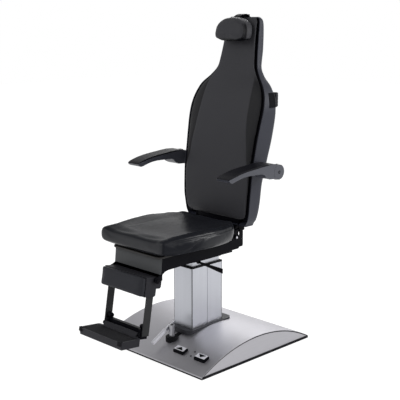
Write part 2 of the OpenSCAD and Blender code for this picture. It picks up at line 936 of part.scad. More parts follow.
// Cross plate of the seat frame with the swivel's housing and the release lever's lug
module seat_base() {
  color([0.07, 0.07, 0.08])
    difference() {
      union() {
        block([-plate_in, cross_front, cross_z], [plate_in, cross_back, cross_z + cross_t]);
        translate([0, column_y, boss_top + slack])
          cylinder(h = cross_z - boss_top - slack + cut, r = housing_r);
        for (side = [-1, 1])
          along_y(release_y + side * (release_t / 2 + slack + lug_t / 2) - lug_t / 2,
            release_y + side * (release_t / 2 + slack + lug_t / 2) + lug_t / 2)
            translate([release_x - lug_w / 2, release_z - release_hub_r])
              square([lug_w, cross_z - release_z + release_hub_r + cut]);
        rod_y(release_y - release_t / 2 - lug_t, release_y + release_t / 2 + lug_t,
          [release_x, release_z], release_pin_r);
      }
      translate([0, column_y, inner_top])
        cylinder(h = swivel_top, r = swivel_r + run_fit);
    }
}

module release_lever() {
  tip_x = release_x + release_l;
  color([0.05, 0.05, 0.06])
    difference() {
      along_y(release_y - release_t / 2, release_y + release_t / 2)
        union() {
          translate([release_x, release_z]) circle(release_hub_r, $fn = pin_fn);
          polygon([
            [release_x, release_z - release_root / 2],
            [tip_x, release_z - release_drop - release_tip / 2],
            [tip_x, release_z - release_drop + release_tip / 2],
            [release_x, release_z + release_root / 2]
          ]);
        }
      rod_y(release_y - release_t, release_y + release_t, [release_x, release_z],
        release_pin_r + run_fit);
    }
}

// Outline of a side plate: level top, hook for the leg rest at the front, rise at the back
module side_outline() {
  low = cross_z + cross_t;
  difference() {
    union() {
      polygon([
        [board_back + plate_step, pivot_z], [board_back + plate_step, board_z - slack],
        [apron_y, board_z - slack], [apron_y - apron_lean, apron_low],
        [leg_y, leg_z + hook_r], [leg_y + hook_r * 0.7, leg_z - hook_r * 0.7],
        [leg_y + hook_r * 1.35, leg_z - hook_r * 0.1],
        [leg_y + hook_r * 2, leg_z + hook_r * 1.6],
        [leg_y + hook_r * 3, leg_z + hook_r * 2.2],
        [leg_y + hook_r * 4.2, leg_z + hook_r * 2.45],
        [pivot_y + plate_rear - plate_rise, low + plate_edge],
        [pivot_y + plate_rear, low + plate_edge + plate_rise],
        [pivot_y + plate_rear, pivot_z]
      ]);
      translate(leg_pivot) circle(hook_r, $fn = pin_fn);
    }
    translate(leg_pivot) circle(leg_shaft_r + seat_fit, $fn = pin_fn);
    translate(pivot) circle(recline_r + slack, $fn = pin_fn);
  }
}

module side_plate_left() {
  color([0.05, 0.05, 0.06]) along_x(-frame_half, -plate_in) side_outline();
}

module side_plate_right() {
  color([0.05, 0.05, 0.06]) along_x(plate_in, frame_half) side_outline();
}

// Outline of a hinge bracket: bore for the recline shaft and a slot above and behind it
module bracket_outline() {
  back_y = pivot_y + bracket_back;
  top_z = pivot_z + bracket_up;
  low_z = cross_z + cross_t + bracket_lift;
  front_y = pivot_y - bracket_front;
  difference() {
    polygon([
      [front_y, low_z], [back_y - bracket_chamfer, low_z], [back_y, low_z + bracket_foot],
      [back_y, top_z - bracket_r], [back_y - bracket_r * 0.3, top_z - bracket_r * 0.3],
      [back_y - bracket_r, top_z], [front_y + bracket_r * 2, top_z], [front_y, pivot_z + recline_r]
    ]);
    translate(pivot) circle(recline_r + run_fit, $fn = pin_fn);
    translate([pivot_y + slot_y, pivot_z + slot_z]) square([slot_w, slot_l], center = true);
  }
}

module hinge_bracket_left() {
  color([0.05, 0.05, 0.06]) along_x(-plate_in, side_t - plate_in) bracket_outline();
}

module hinge_bracket_right() {
  color([0.05, 0.05, 0.06]) along_x(plate_in - side_t, plate_in) bracket_outline();
}

// Square tube between the side plates, with two ears and a bolt for the gas spring
module front_crossbar() {
  half = plate_in;
  low = spring_z - crossbar_h / 2;
  color([0.07, 0.07, 0.08])
    union() {
      along_x(-half, half)
        translate([crossbar_y - crossbar_d / 2, low])
          difference() {
            square([crossbar_d, crossbar_h]);
            translate([crossbar_wall, crossbar_wall])
              square([crossbar_d - 2 * crossbar_wall, crossbar_h - 2 * crossbar_wall]);
          }
      for (side = [-1, 1])
        along_x(side * (fork_half + slack + ear_t / 2) - ear_t / 2,
          side * (fork_half + slack + ear_t / 2) + ear_t / 2)
          polygon([
            [crossbar_y + crossbar_d / 2 - cut, spring_z - spring_eye_r],
            [spring_front + spring_eye_r, spring_z - spring_eye_r],
            [spring_front + spring_eye_r, spring_z + spring_eye_r],
            [crossbar_y + crossbar_d / 2 - cut, spring_z + spring_eye_r]
          ]);
      rod_x(-fork_half - ear_t, fork_half + ear_t, [spring_front, spring_z], spring_bolt_r);
    }
}

module apron() {
  top = board_z - slack;
  y0 = apron_y - slack;
  color([0.22, 0.23, 0.24])
    along_x(-apron_half, apron_half)
      polygon([
        [y0, top], [y0 - apron_lean, apron_low], [y0 - apron_lean - apron_t, apron_low],
        [y0 - apron_t, top]
      ]);
}

module leg_shaft() {
  washer = frame_half - side_t - leg_w / 2 - 2 * slack;
  color([0.7, 0.7, 0.72])
    union() {
      rod_x(-frame_half - pin_head_h, frame_half + pin_head_h, leg_pivot, leg_shaft_r);
      for (side = [-1, 1])
        rod_x(side * (leg_w / 2 + slack + washer / 2) - washer / 2,
          side * (leg_w / 2 + slack + washer / 2) + washer / 2, leg_pivot,
          leg_shaft_r + washer_out);
    }
}

module seat_board() {
  color([0.45, 0.35, 0.24])
    translate([0, (board_front + board_back) / 2, board_z])
      linear_extrude(board_t)
        round_rect(2 * board_half, board_back - board_front, board_r);
}

// One cross section of the seat cushion at a share of its length
function seat_ring(share) =
  let (
    y = seat_front + share * seat_l,
    half = seat_w / 2 * smooth(seat_width_shares, share),
    low = seat_h * max(0, smooth(seat_base_shares, share)),
    high = seat_h * smooth(seat_rise_shares, share),
    dish = seat_dish * smooth(seat_dish_shares, share),
    z0 = board_z + board_t + slack
  )
  concat(
    [for (p = seat_section_shares) [p[0] * half, y, z0 + low + p[1] * (high - low) - p[2] * dish]],
    [for (k = [len(seat_section_shares) - 2:-1:1])
      let (p = seat_section_shares[k])
        [-p[0] * half, y, z0 + low + p[1] * (high - low) - p[2] * dish]]
  );

module seat_cushion() {
  color([0.07, 0.07, 0.09])
    skin([for (share = seat_length_shares) seat_ring(share)]);
}

module gas_spring_barrel() {
  color([0.12, 0.12, 0.13])
    difference() {
      union() {
        rod_y(spring_front + barrel_wall_front, spring_back, [0, spring_z], barrel_r);
        rod_x(-fork_half, fork_half, [spring_front, spring_z], spring_eye_r);
        block([-fork_half, spring_front, spring_z - spring_bolt_r],
          [fork_half, spring_front + barrel_wall_front + cut, spring_z + spring_bolt_r]);
      }
      rod_x(-fork_half - cut, fork_half + cut, [spring_front, spring_z], spring_bolt_r + run_fit);
      rod_y(spring_front + 2 * barrel_wall_front, spring_back + cut, [0, spring_z],
        spring_rod_r + slack);
    }
}

// Place of the crank's pin at rest, behind and below the recline pivot
crank_pin = [
  pivot_y + crank_l * sin(crank_half_angle), pivot_z - crank_l * cos(crank_half_angle)
];

module gas_spring_rod() {
  fork_y = crank_pin[0];
  color([0.75, 0.75, 0.77])
    difference() {
      union() {
        rod_y(spring_rod_front, fork_y - fork_w / 2 + cut, [0, spring_z], spring_rod_r);
        block([-fork_half, fork_y - fork_w / 2, spring_z - fork_h / 2],
          [fork_half, fork_y + fork_w / 2, spring_z + fork_h / 2]);
      }
      block([-fork_half - cut, fork_y - crank_pin_r - cut, spring_z - crank_pin_r * 2],
        [fork_half + cut, fork_y + crank_pin_r + cut, spring_z + crank_pin_r * 2]);
    }
}

// Shaft of the back with the two crank plates and the pin that the gas spring pushes
module recline_shaft() {
  shaft_half = frame_half + slack;
  color([0.72, 0.72, 0.74])
    union() {
      rod_x(-shaft_half, shaft_half, pivot, recline_r);
      for (side = [-1, 1]) {
        rod_x(side * (shaft_half + pin_head_h / 2) - pin_head_h / 2,
          side * (shaft_half + pin_head_h / 2) + pin_head_h / 2, pivot, recline_cap_r);
        along_x(side * (crank_in + crank_t / 2) - crank_t / 2,
          side * (crank_in + crank_t / 2) + crank_t / 2)
          union() {
            translate(pivot) circle(hub_in_r, $fn = pin_fn);
            translate(crank_pin) circle(crank_r, $fn = pin_fn);
            translate(pivot)
              rotate(crank_half_angle - 90)
                translate([0, -crank_r]) square([crank_l, 2 * crank_r]);
          }
      }
      rod_x(-crank_in - crank_t, crank_in + crank_t, crank_pin, crank_pin_r);
    }
}

// Point just behind the board at a height
function board_rear(z) = [
  pivot_y + cushion_side + back_board_t + 2 * slack
    + back_h * smooth(back_edge_shares, (z - back_z0) / back_h),
  z
];

// Outline of a back arm: hub at the pivot, knee, foot of the board, then up to the arm shaft
module back_arm_outline() {
  difference() {
    union() {
      translate(pivot) circle(back_arm_hub, $fn = pin_fn);
      polygon([
        [pivot_y - back_arm_hub * 0.8, pivot_z + back_arm_hub * 0.6],
        [pivot_y + back_arm_hub * 0.9, pivot_z - back_arm_hub * 0.4],
        [pivot_y + knee_y + knee_w / 2, pivot_z + knee_z - knee_y],
        [pivot_y + rise_y + rise_w / 2, pivot_z + rise_z - knee_y],
        [pivot_y + straight_y + back_arm_w / 2, pivot_z + straight_z],
        [arm_axis_y + back_arm_w / 2 + back_arm_edge, arm_axis_z + back_arm_up],
        board_rear(arm_axis_z + back_arm_up), board_rear(arm_axis_z - back_arm_low / 2),
        board_rear(arm_axis_z - 2 * back_arm_low),
        [pivot_y + straight_y - back_arm_w / 2, pivot_z + straight_z],
        [pivot_y + rise_y - rise_w / 2, pivot_z + rise_z],
        [pivot_y + knee_y - knee_w / 2, pivot_z + knee_z]
      ]);
    }
    translate(pivot) circle(recline_r + bolt_fit, $fn = pin_fn);
    translate(arm_axis) circle(arm_shaft_r + bolt_fit, $fn = pin_fn);
  }
}

module back_arm_left() {
  color([0.05, 0.05, 0.06]) along_x(-arm_in, back_arm_t - arm_in) back_arm_outline();
}

module back_arm_right() {
  color([0.05, 0.05, 0.06]) along_x(arm_in - back_arm_t, arm_in) back_arm_outline();
}

// Back sizes at ring k: height, half width, front edge, panel, crown, and the shell's rim and rear
function back_z(k) = back_z0 + back_h * back_height_shares[k];
function back_half(k) = back_w / 2 * smooth(back_width_shares, back_height_shares[k]);
function back_edge(k) = pivot_y + back_h * smooth(back_edge_shares, back_height_shares[k]);
function back_panel(k) = back_w / 2 * smooth(back_panel_shares, back_height_shares[k]);
function back_crown(k) = cushion_side * smooth(back_crown_shares, back_height_shares[k]);
function back_base(k) =
  pivot_y + cushion_side + back_h * smooth(back_edge_shares, max(back_height_shares[k], back_foot_share));
function shell_rim(k) = back_base(k) + slack;
function shell_rear(k) = pivot_y + back_h * smooth(back_rear_shares, back_height_shares[k]);

// Half of a cross section of the back cushion, from its rear to the middle of its front
function back_half_ring(k) =
  let (
    half = back_half(k), y = back_edge(k), panel = back_panel(k), crown = back_crown(k),
    side = back_base(k) - y
  )
  concat(
    [for (p = back_section_shares) [p[0] * half, y + p[1] * side]],
    [[(panel + half) / 2, y - crown / 2 - cushion_side * 0.12], [panel, y - crown]],
    [[panel / 2, y - crown - cushion_side * 0.12]]
  );

function back_ring(k) =
  let (z = back_z(k), right = back_half_ring(k), last = len(right) - 1, y = back_edge(k))
  concat(
    [for (p = right) [p[0], p[1], z]],
    [[0, y - back_crown(k) - cushion_side * 0.16, z]],
    [for (i = [last:-1:0]) [-right[i][0], right[i][1], z]],
    [[0, back_base(k), z]]
  );

module back_cushion() {
  color([0.2, 0.2, 0.21])
    skin([for (k = [0:back_rings - 1]) back_ring(k)]);
}

// Outline of the back seen from the front, drawn in by a margin
module back_front_outline(margin, first, last) {
  polygon(concat(
    [for (k = [first:last]) [back_half(k) - margin, back_z(k)]],
    [for (k = [last:-1:first]) [margin - back_half(k), back_z(k)]]
  ));
}

module back_board() {
  first = 3;
  last = back_rings - 4;
  margin = shell_wall + board_play - shell_out;
  color([0.4, 0.32, 0.22])
    difference() {
      intersection() {
        along_x(-back_w / 2, back_w / 2)
          polygon(concat(
            [for (k = [first:last]) [shell_rim(k), back_z(k)]],
            [for (k = [last:-1:first]) [shell_rim(k) + back_board_t, back_z(k)]]
          ));
        along_y(0, base_d)
          back_front_outline(margin, first, last);
      }
    }
}

// Cross section of the shell at ring k, drawn in by a wall and drawn forward by a reach
function shell_ring(k, wall, reach) =
  let (
    z = back_z(k) - (k == 0 ? shell_drop : 0), half = back_half(k) + shell_out - wall, rim = shell_rim(k),
    rear = shell_rear(k) - wall, r = min(shell_rear_r, (rear - rim) * 0.8), c = r * 0.3,
    crown = shell_crown * half * 2 / back_w, right = [
      [half, rim - reach], [half, rear - r], [half - c, rear - c], [half - r, rear],
      [half / 2, rear + crown * 0.75]
    ],
    last = len(right) - 1
  )
  concat(
    [for (p = right) [p[0], p[1], z]],
    [[0, rear + crown, z]],
    [for (i = [last:-1:0]) [-right[i][0], right[i][1], z]],
    [[0, rim - reach, z]]
  );

module back_shell() {
  first = 2;
  last = back_rings - 3;
  arm_slot = back_arm_t / 2 + slot_clear;
  color([0.22, 0.23, 0.27])
    difference() {
      skin([for (k = [0:back_rings - 1]) shell_ring(k, 0, 0)]);
      skin([for (k = [first:last]) shell_ring(k, shell_wall, cushion_side)]);
      for (side = [-1, 1])
        translate([side * (arm_in - back_arm_t / 2), 0, 0])
          block([-arm_slot, pivot_y, back_z0 - back_gap / 2],
            [arm_slot, pivot_y + rise_y + rise_w / 2 + 3 * slot_clear, back_z0 + rise_w]);
      rod_x(-back_w, back_w, arm_axis, sleeve_r + slot_clear);
      strap_space();
    }
}

// Space that the strap's rear leg needs through the top of the shell
module strap_space() {
  translate([0, strap_rear_y, strap_rear_z])
    rotate([-neck_slope, 0, 0])
      block([-strap_w / 2 - slot_clear, -push_fit, -back_gap / 2],
        [strap_w / 2 + slot_clear, strap_t + push_fit, back_gap]);
}

module arm_shaft() {
  color([0.3, 0.3, 0.32])
    union() {
      rod_x(cap_t - hub_x1, hub_x1 - cap_t, arm_axis, arm_shaft_r);
      for (side = [-1, 1])
        rod_x(side > 0 ? arm_in + slack : slack - hub_x0, side > 0 ? hub_x0 - slack : -arm_in - slack,
          arm_axis, sleeve_r);
    }
}

// Bar across the rear of the back, on two feet that stand on the shell
module push_bar() {
  rear = pivot_y + back_h * smooth(back_rear_shares, (push_z - back_z0) / back_h) + push_stand;
  color([0.1, 0.1, 0.11])
    union() {
      along_x(-push_half, push_half)
        translate([push_y + push_d / 2, push_z])
          round_rect(push_d, push_h, push_d / 4);
      for (side = [-1, 1])
        block([side * (push_half - push_foot_in) - push_foot_w / 2, rear, push_z - push_foot_h / 2],
          [side * (push_half - push_foot_in) + push_foot_w / 2, push_y + push_d / 2,
            push_z + push_foot_h / 2]);
    }
}

// Sleeve behind the board that the headrest's strap slides in
module headrest_guide() {
  color([0.1, 0.1, 0.11])
    translate([0, strap_rear_y, strap_rear_z])
      rotate([-neck_slope, 0, 0])
        difference() {
          block([-strap_w / 2 - guide_wall, -guide_wall, -guide_low - guide_l],
            [strap_w / 2 + guide_wall, strap_t + guide_wall, -guide_low]);
          block([-strap_w / 2 - slack, -slack, -guide_low - guide_l - cut],
            [strap_w / 2 + slack, strap_t + slack, cut - guide_low]);
        }
}

// Steel strap: down inside the shell, over its top and down behind the head cushion
module headrest_strap() {
  front_y = head_back_y(bridge_z) + slack;
  color([0.06, 0.06, 0.07])
    union() {
      translate([0, strap_rear_y, strap_rear_z])
        rotate([-neck_slope, 0, 0])
          block([-strap_w / 2, 0, -strap_low], [strap_w / 2, strap_t, bridge_z - strap_rear_z + strap_t]);
      block([-strap_w / 2, front_y, bridge_z],
        [strap_w / 2, strap_rear_y + strap_t + (bridge_z - strap_rear_z) * tan(neck_slope),
          bridge_z + strap_t]);
      translate([0, front_y, bridge_z])
        rotate([-neck_slope, 0, 0])
          block([-strap_w / 2, 0, -head_h * 0.7], [strap_w / 2, strap_t, strap_t]);
    }
}

// Back of the head cushion at a height
function head_back_y(z) = head_y + head_d / 2 + (z - head_z) * tan(neck_slope);

// Head cushion: a loaf, more rounded at the top, in rings from one end to the other
head_ring_count = 19;
head_point_count = 28;
function power(x, p) = sign(x) * pow(abs(x), p);
function head_ring(j) =
  let (
    u = 2 * j / (head_ring_count - 1) - 1,
    s = sign(u) * (1 - pow(1 - abs(u), 1.6)),
    thin = pow(1 - pow(abs(s), 5), 0.36) * 0.985 + 0.015,
    drop = pow(abs(s), 2.6) * 0.34,
    x = s * head_w / 2
  )
  [
    for (i = [0:head_point_count - 1])
      let (
        a = 360 * i / head_point_count,
        v = power(sin(a), 0.5),
        d = power(cos(a), 0.5) * (v > 0 ? 1 - 0.1 * pow(v, 4) : 1),
        z = v > 0 ? v * (1 - drop) * thin : v * (0.6 + 0.4 * thin),
        y = d * (0.5 + 0.5 * thin)
      )
      [x, head_y + y * head_d / 2 + z * head_h / 2 * tan(neck_slope), head_z + z * head_h / 2]
  ];

module headrest_cushion() {
  color([0.2, 0.2, 0.21])
    skin([for (j = [0:head_ring_count - 1]) head_ring(j)]);
}

// Side outline of an armrest with its pad: shares of its reach and of the hub's radius
arm_top_shares = [
  [1, 0.08], [0.985, 0.24], [0.95, 0.4], [0.88, 0.6], [0.81, 0.76], [0.71, 0.93], [0.62, 1.03],
  [0.53, 1.11], [0.43, 1.19], [0.34, 1.27], [0.25, 1.32], [0.12, 1.27], [-0.04, 0.85]
];
arm_low_shares = [
  [0.985, -0.12], [0.96, -0.27], [0.938, -0.33], [0.87, -0.17], [0.79, 0.04], [0.72, 0.16],
  [0.63, 0.22], [0.53, 0.2], [0.42, 0.17], [0.335, 0.11], [0.3, -0.06], [0.27, -0.42], [0.2, -0.75],
  [-0.02, -0.88]
];
pad_end_share = 0.12;
pad_inset = 1.2;
screw_slot = 1.5;

function arm_point(p, lift) = [arm_axis_y - p[0] * arm_l, arm_axis_z + p[1] * hub_r + lift];

// Depth of the pad at a share of the reach
function pad_depth(share) = arm_pad_t * max(0, min(1, (1 - share) * 16, (share - pad_end_share) * 8));

module arm_outline() {
  difference() {
    union() {
      polygon(concat(
        [for (p = arm_low_shares) arm_point(p, 0)],
        [for (k = [len(arm_top_shares) - 1:-1:0])
          arm_point(arm_top_shares[k], -pad_depth(arm_top_shares[k][0]))]
      ));
      translate(arm_axis) circle(hub_r);
    }
    translate(arm_axis) circle(arm_shaft_r + run_fit, $fn = pin_fn);
  }
}

module armrest(side) {
  x0 = side > 0 ? hub_x0 : -hub_x1;
  color([0.31, 0.32, 0.36])
    difference() {
      along_x(x0, x0 + arm_w) arm_outline();
      rod_x(side > 0 ? hub_x1 - cap_t : -hub_x1 - cut, side > 0 ? hub_x1 + cut : cap_t - hub_x1,
        arm_axis, hub_r + cap_inset, 2 * pin_fn);
    }
}

module armrest_left() {
  armrest(-1);
}

module armrest_right() {
  armrest(1);
}

// Dark pad along the top of an armrest
module arm_pad(side) {
  x0 = side > 0 ? hub_x0 : -hub_x1;
  padded = [for (p = arm_top_shares) if (p[0] >= pad_end_share) p];
  color([0.08, 0.08, 0.1])
    along_x(x0 + pad_inset, x0 + arm_w - pad_inset)
      polygon(concat(
        [for (p = padded) arm_point(p, 0)],
        [for (k = [len(padded) - 2:-1:1]) arm_point(padded[k], -pad_depth(padded[k][0]))]
      ));
}

module arm_pad_left() {
  arm_pad(-1);
}

module arm_pad_right() {
  arm_pad(1);
}

// Cap on the outer end of a hub, with a slotted screw in the middle
module hub_cap(side) {
  color([0.36, 0.37, 0.41])
    mirror([side > 0 ? 0 : 1, 0, 0])
      union() {
        rod_x(hub_x1 - cap_t + slack, hub_x1 - cap_t + cap_gap + cut, arm_axis, cap_r - cap_gap);
        rod_x(hub_x1 - cap_t + cap_gap, hub_x1, arm_axis, cap_r, 2 * pin_fn);
        difference() {
          rod_x(hub_x1 - cut, hub_x1 + screw_t, arm_axis, screw_r);
          block([hub_x1, arm_axis_y - screw_slot / 2, arm_axis_z - screw_r - cut],
            [hub_x1 + screw_t + cut, arm_axis_y + screw_slot / 2, arm_axis_z + screw_r + cut]);
        }
      }
}

module hub_cap_left() {
  hub_cap(-1);
}

module hub_cap_right() {
  hub_cap(1);
}

// Children drawn in the leg rest's own frame
module leg_frame() {
  translate([0, leg_y, leg_z])
    rotate([-leg_tilt, 0, 0]) children();
}

module leg_housing() {
  low = leg_top - leg_h;
  color([0.15, 0.15, 0.16])
    leg_frame()
      difference() {
        along_x(-leg_w / 2, leg_w / 2)
          polygon([
            [leg_front, low], [leg_back_low - leg_r, low], [leg_back_low, low + leg_r],
            [leg_back_low, leg_step], [leg_back_high - leg_r, leg_step],
            [leg_back_high, leg_step + leg_r], [leg_back_high, leg_top - leg_r],
            [leg_back_high - leg_r, leg_top], [leg_front, leg_top]
          ]);
        block([-guide_in, leg_front + leg_r, low - cut], [guide_in, leg_back_high + cut, leg_top - leg_r]);
        for (side = [-1, 1])
          block([side * (rail_out_x - rail_t / 2) - rail_t / 2 - slack, rail_front - slack, low - cut],
            [side * (rail_out_x - rail_t / 2) + rail_t / 2 + slack, rail_front + rail_d + slack,
              rail_top + push_fit]);
        rod_x(-leg_w / 2 - cut, leg_w / 2 + cut, [0, 0], leg_shaft_r + run_fit);
      }
}

// Padded front of the leg rest: a flat panel that is crowned and drawn in at its edges
pad_ring_count = 15;
pad_point_count = 24;
function pad_ring(j) =
  let (
    u = 2 * j / (pad_ring_count - 1) - 1,
    s = sign(u) * (1 - pow(1 - abs(u), 2.2)),
    thin = pow(1 - pow(abs(s), 14), 0.4),
    x = s * leg_pad_half,
    z0 = leg_top - leg_h / 2
  )
  [
    for (i = [0:pad_point_count - 1])
      let (
        a = 360 * i / pad_point_count,
        z = power(sin(a), 0.32) * (leg_h / 2 - leg_r * (1 - thin)),
        d = power(cos(a), 0.32)
      )
      [x, leg_front - slack - leg_pad_t / 2 + d * leg_pad_t / 2 * (d > 0 ? 1 : 0.35 + 0.65 * thin), z0 + z]
  ];

module leg_pad() {
  color([0.14, 0.14, 0.15])
    leg_frame()
      skin([for (j = [0:pad_ring_count - 1]) pad_ring(j)]);
}

module rail(side) {
  color([0.13, 0.13, 0.15])
    leg_frame()
      block([side * (rail_out_x - rail_t / 2) - rail_t / 2, rail_front, rail_bottom],
        [side * (rail_out_x - rail_t / 2) + rail_t / 2, rail_front + rail_d, rail_top]);
}

module rail_left() {
  rail(-1);
}

module rail_right() {
  rail(1);
}

// Bar between the rails with the lugs and the pin that the footplate turns on
module footrest_crossbar() {
  half = rail_out_x - rail_t;
  bar_y = rail_front + (rail_d - bar_d) / 2;
  color([0.07, 0.07, 0.08])
    leg_frame()
      union() {
        block([-half, bar_y, bar_low], [half, bar_y + bar_d, bar_low + bar_h]);
        for (side = [-1, 1])
          along_x(side * (lug_x0 + lug_x1) / 2 - (lug_x1 - lug_x0) / 2,
            side * (lug_x0 + lug_x1) / 2 + (lug_x1 - lug_x0) / 2)
            union() {
              translate([foot_pin_y, foot_pin_z]) circle(knuckle_r, $fn = pin_fn);
              polygon([
                [foot_pin_y, foot_pin_z - knuckle_r], [bar_y + cut, bar_low],
                [bar_y + cut, bar_low + bar_h], [foot_pin_y, foot_pin_z + knuckle_r]
              ]);
            }
        rod_x(-lug_x1, lug_x1, [foot_pin_y, foot_pin_z], foot_pin_r);
      }
}

// Outline of the footplate from the side, in the leg rest's frame
function foot_top(y) = foot_top_back + (y - foot_back) * foot_slope;

module foot_side(margin, drop) {
  front = foot_back - foot_l;
  polygon([
    [foot_back - margin, foot_top(foot_back) - drop],
    [front + margin, foot_top(front) - drop],
    [front + margin + (drop > 0 ? 0 : foot_nose), foot_top(front) - foot_t - (drop > 0 ? drop : 0)],
    [foot_back - margin, foot_top(foot_back) - foot_t - (drop > 0 ? drop : 0)]
  ]);
}

module footplate() {
  front = foot_back - foot_l;
  mid = (foot_back + front) / 2;
  color([0.15, 0.15, 0.16])
    leg_frame()
      difference() {
        union() {
          intersection() {
            along_x(-foot_w / 2, foot_w / 2) foot_side(0, 0);
            translate([0, mid, foot_top(front) - 2 * foot_t])
              linear_extrude(4 * foot_t)
                round_rect(foot_w, foot_l, foot_corner_r);
          }
          rod_x(slack - lug_x0, lug_x0 - slack, [foot_pin_y, foot_pin_z], knuckle_r);
          along_x(slack - lug_x0, lug_x0 - slack)
            polygon([
              [foot_pin_y + knuckle_r * 0.7, foot_pin_z - knuckle_r * 0.7],
              [foot_pin_y - knuckle_r * 0.7, foot_pin_z + knuckle_r * 0.7],
              [foot_back - knuckle_r, foot_top(foot_back - knuckle_r) - cut],
              [foot_back - cut, foot_top(foot_back) - knuckle_r]
            ]);
        }
        along_x(-foot_w / 2 + foot_wall, foot_w / 2 - foot_wall)
          polygon([
            [foot_back - foot_wall, foot_top(foot_back) - 2 * foot_wall],
            [front + 2 * foot_wall, foot_top(front) - 2 * foot_wall],
            [front + foot_nose + foot_wall, foot_top(front) - foot_t - cut],
            [foot_back - foot_wall, foot_top(foot_back) - foot_t - cut]
          ]);
        rod_x(-lug_x0, lug_x0, [foot_pin_y, foot_pin_z], foot_pin_r + run_fit);
        foot_mat_space(mat_inset, -mat_t);
      }
}

// Recess for the mat, as deep as the mat is thick
module foot_mat_space(inset, drop) {
  front = foot_back - foot_l;
  along_x(-foot_w / 2 + inset, foot_w / 2 - inset)
    polygon([
      [foot_back - inset - knuckle_r, foot_top(foot_back - inset - knuckle_r) + drop],
      [front + inset, foot_top(front + inset) + drop],
      [front + inset, foot_top(front + inset) + cut],
      [foot_back - inset - knuckle_r, foot_top(foot_back - inset - knuckle_r) + cut]
    ]);
}

// Ribbed rubber mat in the footplate
module foot_mat() {
  front = foot_back - foot_l;
  y0 = front + mat_inset + slack;
  y1 = foot_back - mat_inset - knuckle_r - slack;
  step = (y1 - y0 - mat_rib_w) / (mat_ribs - 1);
  color([0.1, 0.1, 0.11])
    leg_frame()
      along_x(-foot_w / 2 + mat_inset + slack, foot_w / 2 - mat_inset - slack)
        union() {
          polygon([
            [y0, foot_top(y0) - mat_t], [y1, foot_top(y1) - mat_t], [y1, foot_top(y1)], [y0, foot_top(y0)]
          ]);
          for (k = [0:mat_ribs - 1])
            let (y = y0 + k * step)
              polygon([
                [y, foot_top(y) - mat_t / 2], [y + mat_rib_w, foot_top(y + mat_rib_w) - mat_t / 2],
                [y + mat_rib_w, foot_top(y + mat_rib_w) + mat_rib], [y, foot_top(y) + mat_rib]
              ]);
        }
}

base_plate();
base_cover();
side_panel_left();
side_panel_right();
column_foot();
column_bolts();
column_outer();
column_collar();
column_wiper();
glide_pads();
actuator_tube();
control_box();
mains_inlet();
switch_housings();
lock_post();
post_ring();
lever_pin();
pedal_up();
pedal_down();
lock_pedal();
column_inner();
column_head();
actuator_rod();
seat_base();
side_plate_left();
side_plate_right();
front_crossbar();
apron();
seat_board();
seat_cushion();
hinge_bracket_left();
hinge_bracket_right();
leg_shaft();
gas_spring_barrel();
release_lever();
gas_spring_rod();
recline_shaft();
back_arm_left();
back_arm_right();
back_board();
back_cushion();
back_shell();
arm_shaft();
push_bar();
headrest_guide();
headrest_strap();
headrest_cushion();
armrest_left();
arm_pad_left();
hub_cap_left();
armrest_right();
arm_pad_right();
hub_cap_right();
leg_housing();
leg_pad();
rail_left();
rail_right();
footrest_crossbar();
footplate();
foot_mat();
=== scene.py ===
"""Looks of an ophthalmic examination chair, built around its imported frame."""

import json
import math

import bmesh
import bpy
from mathutils import Matrix, Vector

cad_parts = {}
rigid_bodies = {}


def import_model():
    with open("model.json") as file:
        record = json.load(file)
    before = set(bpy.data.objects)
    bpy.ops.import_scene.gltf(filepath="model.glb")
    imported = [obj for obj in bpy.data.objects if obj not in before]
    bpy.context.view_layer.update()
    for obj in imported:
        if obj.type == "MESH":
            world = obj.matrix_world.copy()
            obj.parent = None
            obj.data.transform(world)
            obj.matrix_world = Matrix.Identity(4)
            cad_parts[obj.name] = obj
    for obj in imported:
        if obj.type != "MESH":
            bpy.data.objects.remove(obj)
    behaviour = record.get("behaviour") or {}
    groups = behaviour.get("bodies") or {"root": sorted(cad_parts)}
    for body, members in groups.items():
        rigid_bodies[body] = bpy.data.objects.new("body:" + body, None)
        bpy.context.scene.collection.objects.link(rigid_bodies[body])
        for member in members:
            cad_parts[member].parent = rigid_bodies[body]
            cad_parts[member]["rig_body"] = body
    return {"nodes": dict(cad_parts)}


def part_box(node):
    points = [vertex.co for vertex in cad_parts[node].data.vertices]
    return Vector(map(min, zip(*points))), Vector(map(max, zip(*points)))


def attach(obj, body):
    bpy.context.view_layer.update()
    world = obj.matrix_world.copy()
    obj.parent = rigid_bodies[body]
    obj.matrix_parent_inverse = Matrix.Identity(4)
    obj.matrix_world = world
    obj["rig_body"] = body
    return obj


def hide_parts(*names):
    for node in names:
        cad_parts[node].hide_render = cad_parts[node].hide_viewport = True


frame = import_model()

bl_info = {
    "name": "Ophthalmic examination chair",
    "version": (1, 0, 0),
    "blender": (4, 5, 0),
    "location": "3D View > Sidebar > Chair",
    "description": "Upholstery, mouldings, metal finishes and studio of an examination chair",
    "category": "Object",
}

MM = 0.001
SIDES = (("left", 1), ("right", -1))

# Step between two faces that would otherwise lie in one plane, top of the base plate, place of the lock post
# along Y, and how much larger the hub caps are than the frame's
HAIR, PLATE_TOP, LOCK_Y, CAP_GROWTH = 0.0006, 0.0125, -0.25, 1.07


def length(name, description, default):
    """A size that can be set in the sidebar, in metres."""
    return bpy.props.FloatProperty(
        name=name, description=description, default=default, min=0, precision=4, unit="LENGTH"
    )


def colour(name, description, default):
    """A colour that can be set in the sidebar."""
    return bpy.props.FloatVectorProperty(
        name=name, description=description, default=default, min=0, max=1, size=3, subtype="COLOR"
    )


